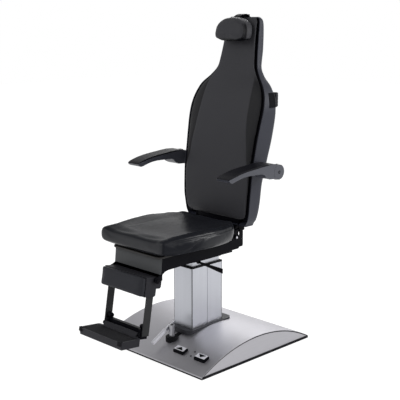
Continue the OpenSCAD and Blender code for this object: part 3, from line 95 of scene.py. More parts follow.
class ChairSizes(bpy.types.PropertyGroup):
    """Sizes of the upholstery and of the rounded edges."""

    seat_mesh: length("Seat mesh", "Size of one face of the seat cushion before it is subdivided", 0.005)
    seat_swell: length("Seat swell", "Furthest that the seat cushion swells under pressure", 0.004)
    back_mesh: length("Back mesh", "Size of one face of the back cushion before it is subdivided", 0.0055)
    back_swell: length("Back swell", "Furthest that the back cushion swells under pressure", 0.006)
    pad_mesh: length("Pad mesh", "Size of one face of the small pads before they are subdivided", 0.004)
    pad_swell: length("Pad swell", "Furthest that a small pad swells under pressure", 0.004)
    seam_depth: length("Seam depth", "Depth of the sewn lines of the cushions", 0.0022)
    seam_width: length("Seam width", "Half width of the sewn lines of the cushions", 0.005)
    shell_lip: length("Shell lip", "Radius of the rounded rim of the back shell", 0.002)
    arm_round: length("Armrest edge", "Radius of the rounded edges of the armrests", 0.006)


class ChairColours(bpy.types.PropertyGroup):
    """Colours of the chair's materials."""

    seat_vinyl: colour("Seat vinyl", "Semi-gloss black of the seat cushion", (0.014, 0.015, 0.019))
    back_vinyl: colour("Back vinyl", "Matte black of the back and the head cushion", (0.047, 0.047, 0.053))
    # Painted shade: the darker vinyl of the back's side facets stands in for the shade that falls on them
    wing_shade_vinyl: colour("Wing vinyl", "Darker vinyl beside the back's middle panel", (0.016, 0.016, 0.018))
    leg_vinyl: colour("Leg rest vinyl", "Matte black of the leg rest's pad", (0.027, 0.028, 0.034))
    shell: colour("Back shell", "Slate of the moulded shell", (0.026, 0.028, 0.041))
    armrest: colour("Armrest", "Grey of the moulded armrests", (0.058, 0.061, 0.078))
    arm_pad: colour("Arm pad", "Black of the pads on the armrests", (0.006, 0.006, 0.009))
    frame_paint: colour("Frame paint", "Black powder coat of the seat frame", (0.004, 0.004, 0.006))
    apron_paint: colour("Apron paint", "Dark grey coat of the apron", (0.084, 0.087, 0.091))
    charcoal: colour("Charcoal plastic", "Leg rest housing and footplate", (0.026, 0.026, 0.031))
    black_plastic: colour("Black plastic", "Switch housings, knobs and trim", (0.003, 0.003, 0.005))
    rubber: colour("Rubber", "Rings, wiper and mat", (0.008, 0.008, 0.010))
    steel: colour("Brushed steel", "Sheet of the base", (0.41, 0.405, 0.43))
    bright: colour("Bright steel", "Post, pedal, shafts and screws", (0.62, 0.62, 0.66))
    aluminium: colour("Anodised aluminium", "Column tubes", (0.50, 0.51, 0.55))
    silver: colour("Silver plastic", "Foot buttons and the lock's sleeve", (0.78, 0.78, 0.84))
    nylon: colour("Nylon", "Glide pads", (0.7, 0.7, 0.64))
    wood: colour("Stained plywood", "Boards under the upholstery", (0.012, 0.010, 0.009))


# Materials


class Socket:
    """An output of a node. Sums and products of it become Math nodes."""

    def __init__(self, graph, link):
        self.graph = graph
        self.link = link

    def math(self, operation, first, second):
        return self.graph.node("ShaderNodeMath", {"operation": operation}, {0: first, 1: second})

    def __add__(self, other):
        return self.math("ADD", self, other)

    __radd__ = __add__

    def __sub__(self, other):
        return self.math("SUBTRACT", self, other)

    def __rsub__(self, other):
        return self.math("SUBTRACT", other, self)

    def __mul__(self, other):
        return self.math("MULTIPLY", self, other)

    __rmul__ = __mul__


class Graph:
    """The nodes of a material or of the surroundings, and one method that adds any node."""

    def __init__(self, owner):
        owner.use_nodes = True
        self.tree = owner.node_tree

    def node(self, kind, settings=None, sockets=None, output=0):
        made = self.tree.nodes.new(kind)
        for name, value in (settings or {}).items():
            setattr(made, name, value)
        for key, value in (sockets or {}).items():
            self.feed(made.inputs[key], value)
        return Socket(self, made.outputs[output])

    def feed(self, socket, value):
        if isinstance(value, Socket):
            self.tree.links.new(value.link, socket)
        elif socket.type == "RGBA" and len(value) == 3:
            socket.default_value = (*value, 1)
        else:
            socket.default_value = value


class Finish(Graph):
    """A material being made, with its shader."""

    def __init__(self, name, settings):
        self.material = bpy.data.materials.new(name)
        super().__init__(self.material)
        self.shader = self.tree.nodes["Principled BSDF"]
        for socket, value in settings.items():
            self.shade(socket, value)
        self.place = self.node("ShaderNodeTexCoord", output="Object")

    def shade(self, socket, value):
        self.feed(self.shader.inputs[socket], value)

    def noise(self, scale, detail=2, stretch=(1, 1, 1), roughness=0.5):
        """Soft noise from 0 to 1, with features of 1 / scale metres, scaled apart along each axis."""
        place = self.node("ShaderNodeMapping", {}, {"Vector": self.place, "Scale": stretch})
        sockets = {"Vector": place, "Scale": scale, "Detail": detail, "Roughness": roughness}
        return self.node("ShaderNodeTexNoise", {}, sockets)

    def cells(self, scale):
        """Distance inside the cells of a grain."""
        return self.node("ShaderNodeTexVoronoi", {}, {"Vector": self.place, "Scale": scale}, "Distance")

    def attribute(self, name):
        """A number that the points of the mesh carry."""
        return self.node("ShaderNodeAttribute", {"attribute_name": name}, output="Fac")

    def blend(self, first, second, share):
        """A colour between two, by a share from 0 to 1."""
        sockets = {0: share, 6: (*first, 1), 7: (*second, 1)}
        return self.node("ShaderNodeMix", {"data_type": "RGBA"}, sockets, 2)

    def tinted(self, base, low, high, share):
        """Gives the surface a colour between two tints of a base, by a share from 0 to 1."""
        self.shade("Base Color", self.blend(tint(base, low), tint(base, high), share))

    def done(self, rough, relief, depth):
        """Gives the surface its roughness and a relief of some metres, and hands over the material."""
        self.shade("Roughness", rough)
        self.shade("Normal", self.node("ShaderNodeBump", {}, {"Distance": depth, "Height": relief}, "Normal"))
        return self.material


def tint(base, factor):
    """A colour made lighter or darker."""
    return tuple(min(1.0, c * factor) for c in base)


def vinyl(name, base, rough, grain, index=1.4, gloss=0.0, wing=None):
    """Upholstery vinyl: pressed grain, faint creasing, and a sheen or a darker colour of painted shade where
    it is marked.
    """
    made = Finish(name, {"IOR": index, "Coat Roughness": 0.28})
    if gloss:
        made.shade("Coat Weight", made.attribute("gloss") * gloss)
    patches = made.noise(9, 3)
    # Where the points are marked, the colour goes over to the darker one: painted shade
    if wing:
        made.shade("Base Color", made.blend(base, wing, made.attribute("wing") + (patches - 0.5) * 0.1))
    else:
        made.tinted(base, 0.86, 1.16, patches)
    pores, creases = made.cells(grain), made.noise(grain * 0.35, 5, roughness=0.6)
    worn = rough + (made.noise(60, 4) - 0.5) * 0.1 + (patches - 0.5) * 0.08
    return made.done(worn, pores * 0.6 + creases * 0.7, 0.00018)


def moulding(name, base, rough, grain, depth=0.00006, gloss=0.0, index=1.45):
    """Moulded plastic with a fine spark-eroded texture."""
    made = Finish(name, {"IOR": index, "Coat Weight": gloss, "Coat Roughness": 0.3})
    patches = made.noise(6, 2)
    speckle = made.noise(grain, 3, roughness=0.7)
    made.tinted(base, 0.92, 1.1, patches * 0.6 + speckle * 0.4)
    return made.done(rough + (speckle - 0.5) * 0.12, speckle, depth)


def powder_coat(name, base, rough, index):
    """Powder coated steel: the soft ripple of the coat over a fine sparkle."""
    made = Finish(name, {"IOR": index})
    ripple = made.noise(420, 2)
    fleck = made.noise(2600, 1)
    made.tinted(base, 0.85, 1.25, fleck)
    return made.done(rough + (fleck - 0.5) * 0.15, ripple * 0.7 + fleck * 0.3, 0.00012)


def brushed(name, base, rough, along, lines=900, shift=0.16):
    """Metal with fine brush lines along one axis and the faint clouds of handled sheet."""
    made = Finish(name, {"Metallic": 1.0})
    stretch = tuple(0.012 if axis in along else 1.0 for axis in "xyz")
    fine = made.noise(lines, 4, stretch, 0.75)
    coarse = made.noise(lines * 0.16, 3, stretch, 0.6)
    clouds = made.noise(3.4, 3)
    made.tinted(base, 1 - shift, 1 + shift, fine * 0.4 + coarse * 0.3 + clouds * 0.3)
    worn = rough + (fine - 0.5) * 0.22 + (clouds - 0.5) * 0.14
    return made.done(worn, fine * 0.6 + coarse * 0.4, 0.00003)


def turned(name, base, rough):
    """Bright turned or plated steel with faint machining marks."""
    made = Finish(name, {"Metallic": 1.0})
    marks = made.noise(700, 3, (1, 1, 3))
    smears = made.noise(35, 4)
    made.tinted(base, 0.88, 1.1, smears)
    return made.done(rough + (marks - 0.5) * 0.12 + (smears - 0.5) * 0.1, marks, 0.00002)


def plywood(name, base):
    """Birch plywood: thin layers across its thickness and long grain."""
    made = Finish(name, {})
    grain = made.noise(60, 5, (1, 0.08, 1))
    layers = made.noise(500, 0, (0.02, 0.02, 1))
    made.tinted(base, 0.7, 1.25, grain * 0.6 + layers * 0.4)
    return made.done(0.6 + (grain - 0.5) * 0.2, grain, 0.0001)


FINISHES = {}


def make_finishes(colours):
    """Every material of the chair, by the name that the pieces ask for."""
    FINISHES.update(
        seat_vinyl=vinyl("seat_vinyl", colours.seat_vinyl, 0.3, 620, 1.12, gloss=0.45),
        # The back's wings take a darker colour: painted shade
        back_vinyl=vinyl("back_vinyl", colours.back_vinyl, 0.5, 700, 1.22, wing=colours.wing_shade_vinyl),
        # The head cushion's side band and underside are black: painted shadow and painted shade
        head_vinyl=vinyl("head_vinyl", colours.back_vinyl, 0.45, 700, 1.22, wing=colours.black_plastic),
        leg_vinyl=vinyl("leg_vinyl", colours.leg_vinyl, 0.5, 700, 1.22),
        arm_pad=vinyl("arm_pad", colours.arm_pad, 0.4, 1100, 1.2),
        shell=moulding("shell_plastic", colours.shell, 0.42, 1500, gloss=0.04, index=1.32),
        armrest=moulding("armrest_plastic", colours.armrest, 0.4, 1800, gloss=0.1),
        charcoal=moulding("charcoal_plastic", colours.charcoal, 0.5, 1300, index=1.2),
        collar=moulding("collar_plastic", tint(colours.charcoal, 1.5), 0.5, 1300, index=1.3),
        black_plastic=moulding("black_plastic", colours.black_plastic, 0.45, 1600, index=1.12),
        rubber=moulding("black_rubber", colours.rubber, 0.72, 1900, 0.0001, index=1.2),
        silver=moulding("silver_plastic", colours.silver, 0.3, 2400, 0.00003, 0.4),
        nylon=moulding("glide_nylon", colours.nylon, 0.45, 1500),
        frame_paint=powder_coat("frame_paint", colours.frame_paint, 0.42, 1.12),
        apron_paint=powder_coat("apron_paint", colours.apron_paint, 0.5, 1.25),
        rail_paint=powder_coat("rail_paint", tint(colours.apron_paint, 0.32), 0.5, 1.25),
        steel=brushed("brushed_steel", colours.steel, 0.5, "y"),
        panel_steel=brushed("panel_steel", colours.steel, 0.42, "y"),
        aluminium=brushed("anodised_aluminium", colours.aluminium, 0.42, "z", 420, 0.2),
        bright=turned("bright_steel", colours.bright, 0.26),
        dull=turned("dull_steel", tint(colours.bright, 0.5), 0.34),
        # A darker copy of the column's aluminium: painted shade of the corner grooves
        groove=turned("groove_shade_metal", tint(colours.aluminium, 0.42), 0.45),
        wood=plywood("plywood", colours.wood),
    )


# Meshes


def curve(table, x):
    """Value at x of the smooth curve through a table of pairs."""

    def slope(i):
        low, high = table[max(i - 1, 0)], table[min(i + 1, len(table) - 1)]
        return (high[1] - low[1]) / (high[0] - low[0])

    i = min(max([k for k, pair in enumerate(table) if pair[0] <= x] or [0]), len(table) - 2)
    (x0, y0), (x1, y1) = table[i], table[i + 1]
    run, s = x1 - x0, (x - x0) / (x1 - x0)
    return (
        y0 * (1 + 2 * s) * (1 - s) ** 2
        + y1 * s * s * (3 - 2 * s)
        + run * s * (1 - s) * (slope(i) * (1 - s) - slope(i + 1) * s)
    )


def ease(low, high, x):
    """0 below low, 1 above high and smooth between them."""
    s = min(1.0, max(0.0, (x - low) / (high - low)))
    return s * s * (3 - 2 * s)


def place(name, data):
    """Puts a mesh, a lamp or a camera into the scene."""
    piece = bpy.data.objects.new(name, data)
    bpy.context.scene.collection.objects.link(piece)
    return piece


def new_object(name, work):
    """A new object of the scene from a bmesh."""
    bmesh.ops.recalc_face_normals(work, faces=work.faces)
    mesh = bpy.data.meshes.new(name)
    work.to_mesh(mesh)
    work.free()
    return place(name, mesh)


def settle(piece, steps):
    """Adds modifiers, keeps what they make as the piece's own mesh and takes them away again."""
    for kind, settings in steps:
        modifier = piece.modifiers.new(kind.lower(), kind)
        for key, value in settings.items():
            setattr(modifier, key, value)
    graph = bpy.context.evaluated_depsgraph_get()
    graph.update()
    result = bpy.data.meshes.new_from_object(piece.evaluated_get(graph), depsgraph=graph)
    piece.modifiers.clear()
    piece.data = result
    return piece


def smooth_faces(piece, angle=35):
    """Shades the piece smooth and keeps flat faces flat."""
    piece.data.shade_smooth()
    piece.data.set_sharp_from_angle(angle=math.radians(angle))
    return settle(piece, [("WEIGHTED_NORMAL", {"mode": "FACE_AREA", "keep_sharp": True})])


def finish_piece(piece, body, finish, nodes=()):
    """Gives a piece its material, its body and the nodes that it stands for."""
    piece.data.materials.clear()
    piece.data.materials.append(FINISHES[finish])
    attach(piece, body)
    if nodes:
        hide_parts(*nodes)
    return piece


def welded(node, shape=None, joined=False):
    """A node's mesh with doubled points made one, if asked with its flat faces joined, set right by shape."""
    work = bmesh.new()
    work.from_mesh(frame["nodes"][node].data)
    bmesh.ops.remove_doubles(work, verts=work.verts, dist=0.00002)
    if joined:
        bmesh.ops.dissolve_limit(
            work, angle_limit=math.radians(0.2), verts=work.verts, edges=work.edges, delimit={"NORMAL"}
        )
    if shape:
        reshape(work, shape)
    return work


def reshape(work, shape):
    """Moves each point of a bmesh to where shape puts it."""
    for vertex in work.verts:
        vertex.co = shape(vertex.co)


def grown(node, scale):
    """Shape that makes a node's form larger about its own middle, by a factor along each axis."""
    low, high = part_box(node)
    middle = (low + high) / 2
    return lambda co: Vector([m + (c - m) * s for c, m, s in zip(co, middle, scale)])


def round_edges(work, radius, steps=2, angle=30):
    """Rounds the sharp edges of a bmesh."""
    sharp = [
        e for e in work.edges if len(e.link_faces) == 2 and e.calc_face_angle(0) > math.radians(angle)
    ]
    bmesh.ops.bevel(
        work, geom=sharp, offset=radius, offset_type="OFFSET", segments=steps, profile=0.5,
        affect="EDGES", clamp_overlap=True,
    )


def edged(node, finish, radius=0.8, steps=2, angle=30, shape=None):
    """A piece in a node's place, with the same form, set right by shape, and rounded edges."""
    work = welded(node, shape, joined=True)
    round_edges(work, radius * MM, steps, angle)
    piece = smooth_faces(new_object(node + "_edged", work))
    return finish_piece(piece, frame["nodes"][node]["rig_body"], finish, [node])


def coat(node, finish):
    """Gives a node of the frame its material."""
    mesh = frame["nodes"][node].data
    mesh.materials.clear()
    mesh.materials.append(FINISHES[finish])


def flat_cap(work, ring):
    """Closes an end with one face."""
    work.faces.new(ring)


def strip_cap(work, ring):
    """Closes an end between the first half of its ring and the second, which runs back beside it."""
    for i in range(len(ring) // 2 - 1):
        work.faces.new((ring[i], ring[i + 1], ring[-2 - i], ring[-1 - i]))


def loft(rings, cap=flat_cap):
    """A bmesh of rings of points, each joined to the next and closed at both ends."""
    work = bmesh.new()
    rings = [[work.verts.new(point) for point in ring] for ring in rings]
    for low, high in zip(rings, rings[1:]):
        for i in range(len(low)):
            j = (i + 1) % len(low)
            work.faces.new((low[i], low[j], high[j], high[i]))
    for ring in (rings[0], rings[-1]):
        cap(work, ring)
    return work


def bar(points, low, high):
    """A bmesh of an outline in Y and Z, drawn out along X."""
    return loft([[(x, y, z) for y, z in points] for x in (low, high)])


def block(low, high, turn=None):
    """A bmesh of a box between two corners, turned by a matrix."""
    (x0, y0, z0), (x1, y1, z1) = low, high
    work = bar([(y0, z0), (y1, z0), (y1, z1), (y0, z1)], x0, x1)
    if turn:
        bmesh.ops.transform(work, matrix=turn, verts=work.verts)
    return work


def span(side, inner, outer):
    """Two distances from the middle plane as the lower and the upper X on one side, 1 left and -1 right."""
    return sorted((side * inner, side * outer))


def side_block(side, low, high, turn=None):
    """A block given for the left side, on either side."""
    x0, x1 = span(side, low[0], high[0])
    return block((x0, *low[1:]), (x1, *high[1:]), turn)


def fitting(name, work, body, finish, radius=0.0, steps=2, angle=30):
    """A small piece that only the scene has, with rounded edges."""
    bmesh.ops.recalc_face_normals(work, faces=work.faces)
    if radius:
        round_edges(work, radius * MM, steps, angle)
    return finish_piece(smooth_faces(new_object(name, work)), body, finish)


SIDEWAYS = Matrix.Rotation(math.pi / 2, 4, "Y")


def drum(radius, depth, middle, turn=None, sides=48):
    """A bmesh of a cylinder along Z about its middle, turned by a matrix."""
    work = bmesh.new()
    bmesh.ops.create_cone(
        work, cap_ends=True, segments=sides, radius1=radius, radius2=radius, depth=depth,
        matrix=Matrix.Translation(middle) @ (turn or Matrix.Identity(4)),
    )
    return work


def cut_out(piece, cutters):
    """Takes the shapes of the cutters out of a piece."""
    shape = bmesh.new()
    for cutter in cutters:
        part = bpy.data.meshes.new("part")
        bmesh.ops.recalc_face_normals(cutter, faces=cutter.faces)
        cutter.to_mesh(part)
        cutter.free()
        shape.from_mesh(part)
        bpy.data.meshes.remove(part)
    tool = new_object("cutter", shape)
    settle(piece, [("BOOLEAN", {"object": tool, "operation": "DIFFERENCE", "solver": "EXACT"})])
    bpy.data.objects.remove(tool)


# Upholstery

CLOTH = {
    "quality": 4, "mass": 0.3, "use_pressure": True, "uniform_pressure_force": 4.0, "tension_stiffness": 15,
    "compression_stiffness": 15, "bending_stiffness": 0.5, "vertex_group_mass": "held",
}
CLOTH_FRAMES = 20


def swell(piece, held, limit):
    """Blows the piece up as cloth, holds some of its points and limits how far the others go."""
    before = [v.co.copy() for v in piece.data.vertices]
    group = piece.vertex_groups.new(name="held")
    group.add([v.index for v in piece.data.vertices if held(v)], 1.0, "REPLACE")
    cloth = piece.modifiers.new("cloth", "CLOTH")
    for setting, value in CLOTH.items():
        setattr(cloth.settings, setting, value)
    cloth.settings.effector_weights.gravity = 0
    cloth.collision_settings.use_collision = False
    scene = bpy.context.scene
    for step in range(1, CLOTH_FRAMES + 1):
        scene.frame_set(step)
    settle(piece, [])
    scene.frame_set(1)
    for vertex, start in zip(piece.data.vertices, before):
        moved = vertex.co - start
        if moved.length > 0:
            vertex.co = start + moved * (limit * math.tanh(moved.length / limit) / moved.length)


def press(piece, push):
    """Moves each point of a piece along its normal by what push says of it, in metres."""
    normals = [v.normal.copy() for v in piece.data.vertices]
    for vertex, normal in zip(piece.data.vertices, normals):
        vertex.co += normal * push(vertex.co, normal)


def cushion(node, name, finish, size, limit, held, push, ease_steps, shape, start=0.0):
    """A padded piece in a node's place: remeshed, drawn in, blown up under pressure and then sewn."""
    piece = new_object(name, welded(node, shape))
    settle(piece, [("REMESH", {"mode": "VOXEL", "voxel_size": size})])
    settle(piece, [("SMOOTH", {"factor": 0.5, "iterations": ease_steps})])
    if start:
        press(piece, lambda co, normal: -start)
    swell(piece, held, limit)
    settle(piece, [("SMOOTH", {"factor": 0.5, "iterations": 3}), ("SUBSURF", {"levels": 1})])
    press(piece, push)
    piece.data.shade_smooth()
    finish_piece(piece, frame["nodes"][node]["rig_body"], finish, [node])
    return piece


def mark(piece, name, level):
    """Gives each point of a piece a number from 0 to 1 that its material reads."""
    layer = piece.data.color_attributes.new(name, "FLOAT_COLOR", "POINT")
    for vertex, row in zip(piece.data.vertices, layer.data):
        row.color = (*[level(vertex)] * 3, 1)


def seam(distance, depth, width):
    """How far a sewn line draws a point in, by its distance from the line."""
    return -depth * math.exp(-((distance / width) ** 2))


# The back, in millimetres: its foot, height and half width, and the recline's pivot

BACK_Z0, BACK_H, BACK_HALF_W = 622.0, 981.0, 237.5
PIVOT_Y, PIVOT_Z = 43.0, 555.0

# Its outline at shares of its height: half width and middle panel as shares of the half width, and edge and
# rear as shares of the height behind the pivot
BACK_WIDTH = [
    (0, 0.7), (0.006, 0.78), (0.018, 0.85), (0.045, 0.885), (0.1, 0.915), (0.18, 0.935), (0.26, 0.948),
    (0.34, 0.955), (0.43, 0.975), (0.5, 0.995), (0.55, 1), (0.59, 0.978), (0.63, 0.926), (0.67, 0.83),
    (0.71, 0.66), (0.75, 0.535), (0.79, 0.495), (0.87, 0.455), (0.94, 0.43), (0.975, 0.415),
    (0.992, 0.385), (1, 0.34),
]
BACK_EDGE = [
    (0, 0.0265), (0.008, 0.0225), (0.02, 0.0195), (0.06, 0.0165), (0.1, 0.0145), (0.18, 0.019),
    (0.26, 0.026), (0.34, 0.039), (0.43, 0.055), (0.51, 0.073), (0.59, 0.0975), (0.63, 0.112),
    (0.67, 0.127), (0.71, 0.149), (0.75, 0.1655), (0.79, 0.1745), (0.87, 0.19), (0.94, 0.203), (1, 0.215),
]
BACK_REAR = [
    (0, 0.092), (0.02, 0.099), (0.1, 0.107), (0.2, 0.1155), (0.3, 0.1435), (0.4, 0.171), (0.5, 0.187),
    (0.6, 0.1955), (0.68, 0.199), (0.72, 0.204), (0.78, 0.222), (0.84, 0.2395), (0.93, 0.252),
    (0.985, 0.253), (1, 0.246),
]
BACK_PANEL = [
    (0, 0.6), (0.018, 0.78), (0.06, 0.84), (0.1, 0.865), (0.2, 0.88), (0.26, 0.87), (0.32, 0.8),
    (0.37, 0.78), (0.41, 0.75), (0.45, 0.72), (0.49, 0.7), (0.53, 0.683), (0.57, 0.67), (0.65, 0.645),
    (0.69, 0.615), (0.72, 0.555), (0.75, 0.495), (0.79, 0.462), (0.87, 0.425), (0.94, 0.4),
    (0.975, 0.385), (1, 0.3),
]

# The shell: how far it stands out beside, behind and below the outline, where its rim lies behind the edge,
# its wall, corner and crown, and the share of the height below which its width and rim stay as they are
SHELL_OUT, SHELL_DEEPER, SHELL_DROP, SHELL_RIM = 8.0, 7.0, 14.5, 9.0
SHELL_WALL, SHELL_CORNER, SHELL_CROWN = 4.0, 26.0, 4.0
WIDTH_FROM, RIM_FROM = 0.008, 0.06


def back_share(z):
    """Share of the back's height at a height in metres."""
    return min(1.0, max(0.0, (z / MM - BACK_Z0) / BACK_H))


def shell_section(share, wall):
    """Half width, rim and rear of the shell at a share of its height, drawn in by a wall, in metres."""
    half = BACK_HALF_W * curve(BACK_WIDTH, max(share, WIDTH_FROM)) + SHELL_OUT - wall
    rim = PIVOT_Y + SHELL_RIM + BACK_H * curve(BACK_EDGE, max(share, RIM_FROM))
    rear = PIVOT_Y + BACK_H * curve(BACK_REAR, share) + SHELL_DEEPER - wall
    return half * MM, rim * MM, rear * MM


def shell_path(half, rim, rear, corner):
    """Points round the shell from one rim to the middle of its rear."""
    corner = min(corner, (rear - rim) * 0.8, half * 0.5)
    crown = SHELL_CROWN * half / BACK_HALF_W
    points = [(half, rim + (rear - corner - rim) * k / 4) for k in range(5)]
    for k in range(1, 7):
        angle = math.radians(15 * k)
        points.append((half - corner * (1 - math.cos(angle)), rear - corner * (1 - math.sin(angle))))
    flat = half - corner
    for k in range(1, 8):
        x = flat * (1 - k / 7)
        points.append((x, rear + crown * (1 - (x / max(flat, MM)) ** 2)))
    return points


def both_sides(path):
    """A half path, from its rim to the middle, with its mirror image from the middle on."""
    return path + [(-x, y) for x, y in reversed(path[:-1])]


def shell_mesh(lip):
    """The moulded shell: an outer and an inner skin that meet in a rounded rim and close at both ends."""
    shares = [0, 0.004, 0.01, 0.018, 0.03] + [0.03 + 0.94 * k / 90 for k in range(1, 91)]
    shares += [0.98, 0.988, 0.993, 0.997, 1]
    rings = []
    for share in shares:
        z = (BACK_Z0 + BACK_H * share - SHELL_DROP * (1 - ease(0, 0.03, share))) * MM
        half, rim, rear = shell_section(share, 0)
        outer = both_sides(shell_path(half, rim, rear, SHELL_CORNER * MM))
        half, _, rear = shell_section(share, SHELL_WALL)
        deep = ease(0.006, 0.018, share) * (1 - ease(0.988, 0.994, share))
        rear = rim + lip + (rear - rim - lip) * deep
        inner = both_sides(shell_path(half, rim + lip * 0.3, rear, (SHELL_CORNER - SHELL_WALL) * MM))
        x0, x1 = outer[0][0], inner[0][0]
        rounded = [(x0 - (x0 - x1) * s, rim - lip * math.sin(math.pi * s) * 0.6) for s in (0.25, 0.5, 0.75)]
        section = outer + [(-x, y) for x, y in rounded] + list(reversed(inner)) + list(reversed(rounded))
        rings.append([(x, y, z) for x, y in section])
    return loft(rings, shell_cap)


def shell_cap(work, ring):
    """Closes one end of the shell between its outer and its inner skin."""
    outer = (len(ring) - 6) // 2
    inner = ring[outer + 3:2 * outer + 3]
    skin = ring[:outer]
    back = list(reversed(inner))
    for i in range(outer - 1):
        work.faces.new((skin[i], back[i], back[i + 1], skin[i + 1]))
    left, right = ring[outer:outer + 3], ring[2 * outer + 3:]
    work.faces.new([skin[-1], *left, inner[0]])
    work.faces.new([inner[-1], *right, skin[0]])


# Operators


class CHAIR_OT_base(bpy.types.Operator):
    """Base plate, arched cover, side panels, inlet and what stands inside the base"""

    bl_idname = "chair.base"
    bl_label = "Base"

    def execute(self, context):
        edged("base_plate", "frame_paint", 1.2)
        edged("base_cover", "steel", 0.5, angle=40)
        for name, side in SIDES:
            edged("side_panel_" + name, "panel_steel", 0.4, angle=40)
            self.seal(name, side)
        self.strips()
        edged("column_collar", "collar", 2.0, 3, shape=grown("column_collar", (1.05, 1.03, 1)))
        edged("mains_inlet", "black_plastic", 0.5)
        for node, finish in (
            ("column_foot", "frame_paint"),
            ("column_bolts", "bright"),
            ("control_box", "black_plastic"),
        ):
            coat(node, finish)
        return {"FINISHED"}

    def strips(self):
        """Black strips along the foot of the base's four sides."""
        floor, inset = 0.0004, 0.001
        low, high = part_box("base_cover")
        for name, y0, y1 in (
            ("front", -high.y - HAIR, -high.y + inset), ("rear", high.y - inset, high.y + HAIR),
        ):
            work = block((low.x, y0, floor), (high.x, y1, 0.0075))
            fitting("foot_strip_" + name, work, "base", "rubber", 0.2)
        low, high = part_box("base_plate")
        for name, side in SIDES:
            work = side_block(side, (high.x - inset, low.y, floor), (high.x + 0.0008, high.y, PLATE_TOP))
            fitting("foot_strip_" + name, work, "base", "rubber", 0.2)

    def seal(self, name, side):
        """Thin black seal between the edge of the cover and a side panel."""
        reach, sheet, deep, outer = 0.3795, 0.0016, 0.0055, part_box("base_cover")[1].x
        stops = [-reach + 2 * reach * k / 48 for k in range(49)]
        top = [(y, arch_height(y) - sheet) for y in stops]
        low = [(y, max(z - deep, PLATE_TOP + 0.0003)) for y, z in reversed(top)]
        work = bar(top + low, *span(side, outer - 0.0035, outer - HAIR))
        fitting("edge_seal_" + name, work, "base", "rubber")


class CHAIR_OT_column(bpy.types.Operator):
    """Outer and inner column tubes, wiper, glides, lifting actuator and swivel head"""

    bl_idname = "chair.column"
    bl_label = "Column"

    def execute(self, context):
        edged("column_outer", "aluminium", 0.4, angle=40)
        edged("column_inner", "aluminium", 0.4, angle=40)
        low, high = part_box("column_outer")
        for end, y, rear in (("front", low.y, -1), ("rear", high.y, 1)):
            for name, side in SIDES:
                self.corner("corner_shade_strip_" + name + "_" + end, side * high.x, y, side, rear, high.z - 0.001)
        edged("column_wiper", "rubber", 1.2)
        edged("column_head", "frame_paint", 1.0)
        coat("glide_pads", "nylon")
        coat("actuator_tube", "frame_paint")
        coat("actuator_rod", "bright")
        return {"FINISHED"}

    def corner(self, name, x, y, side, rear, top):
        """Painted shade of a rounded groove along a corner of the outer tube: a dark angled strip laid over
        it, with no recess cut.
        """
        proud, reach, foot = 0.0003, 0.0048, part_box("column_collar")[1].z - 0.004
        path = [(reach, 0), (0.0025, 0), (0.0009, 0.0009), (0, 0.0025), (0, reach)]
        outer = [(x + side * (proud - a), y + rear * (proud - b)) for a, b in path]
        inner = [(x - side * (HAIR + a), y - rear * (HAIR + b)) for a, b in reversed(path)]
        rings = [[(a, b, z) for a, b in outer + inner] for z in (foot, top)]
        fitting(name, loft(rings, strip_cap), "base", "groove")


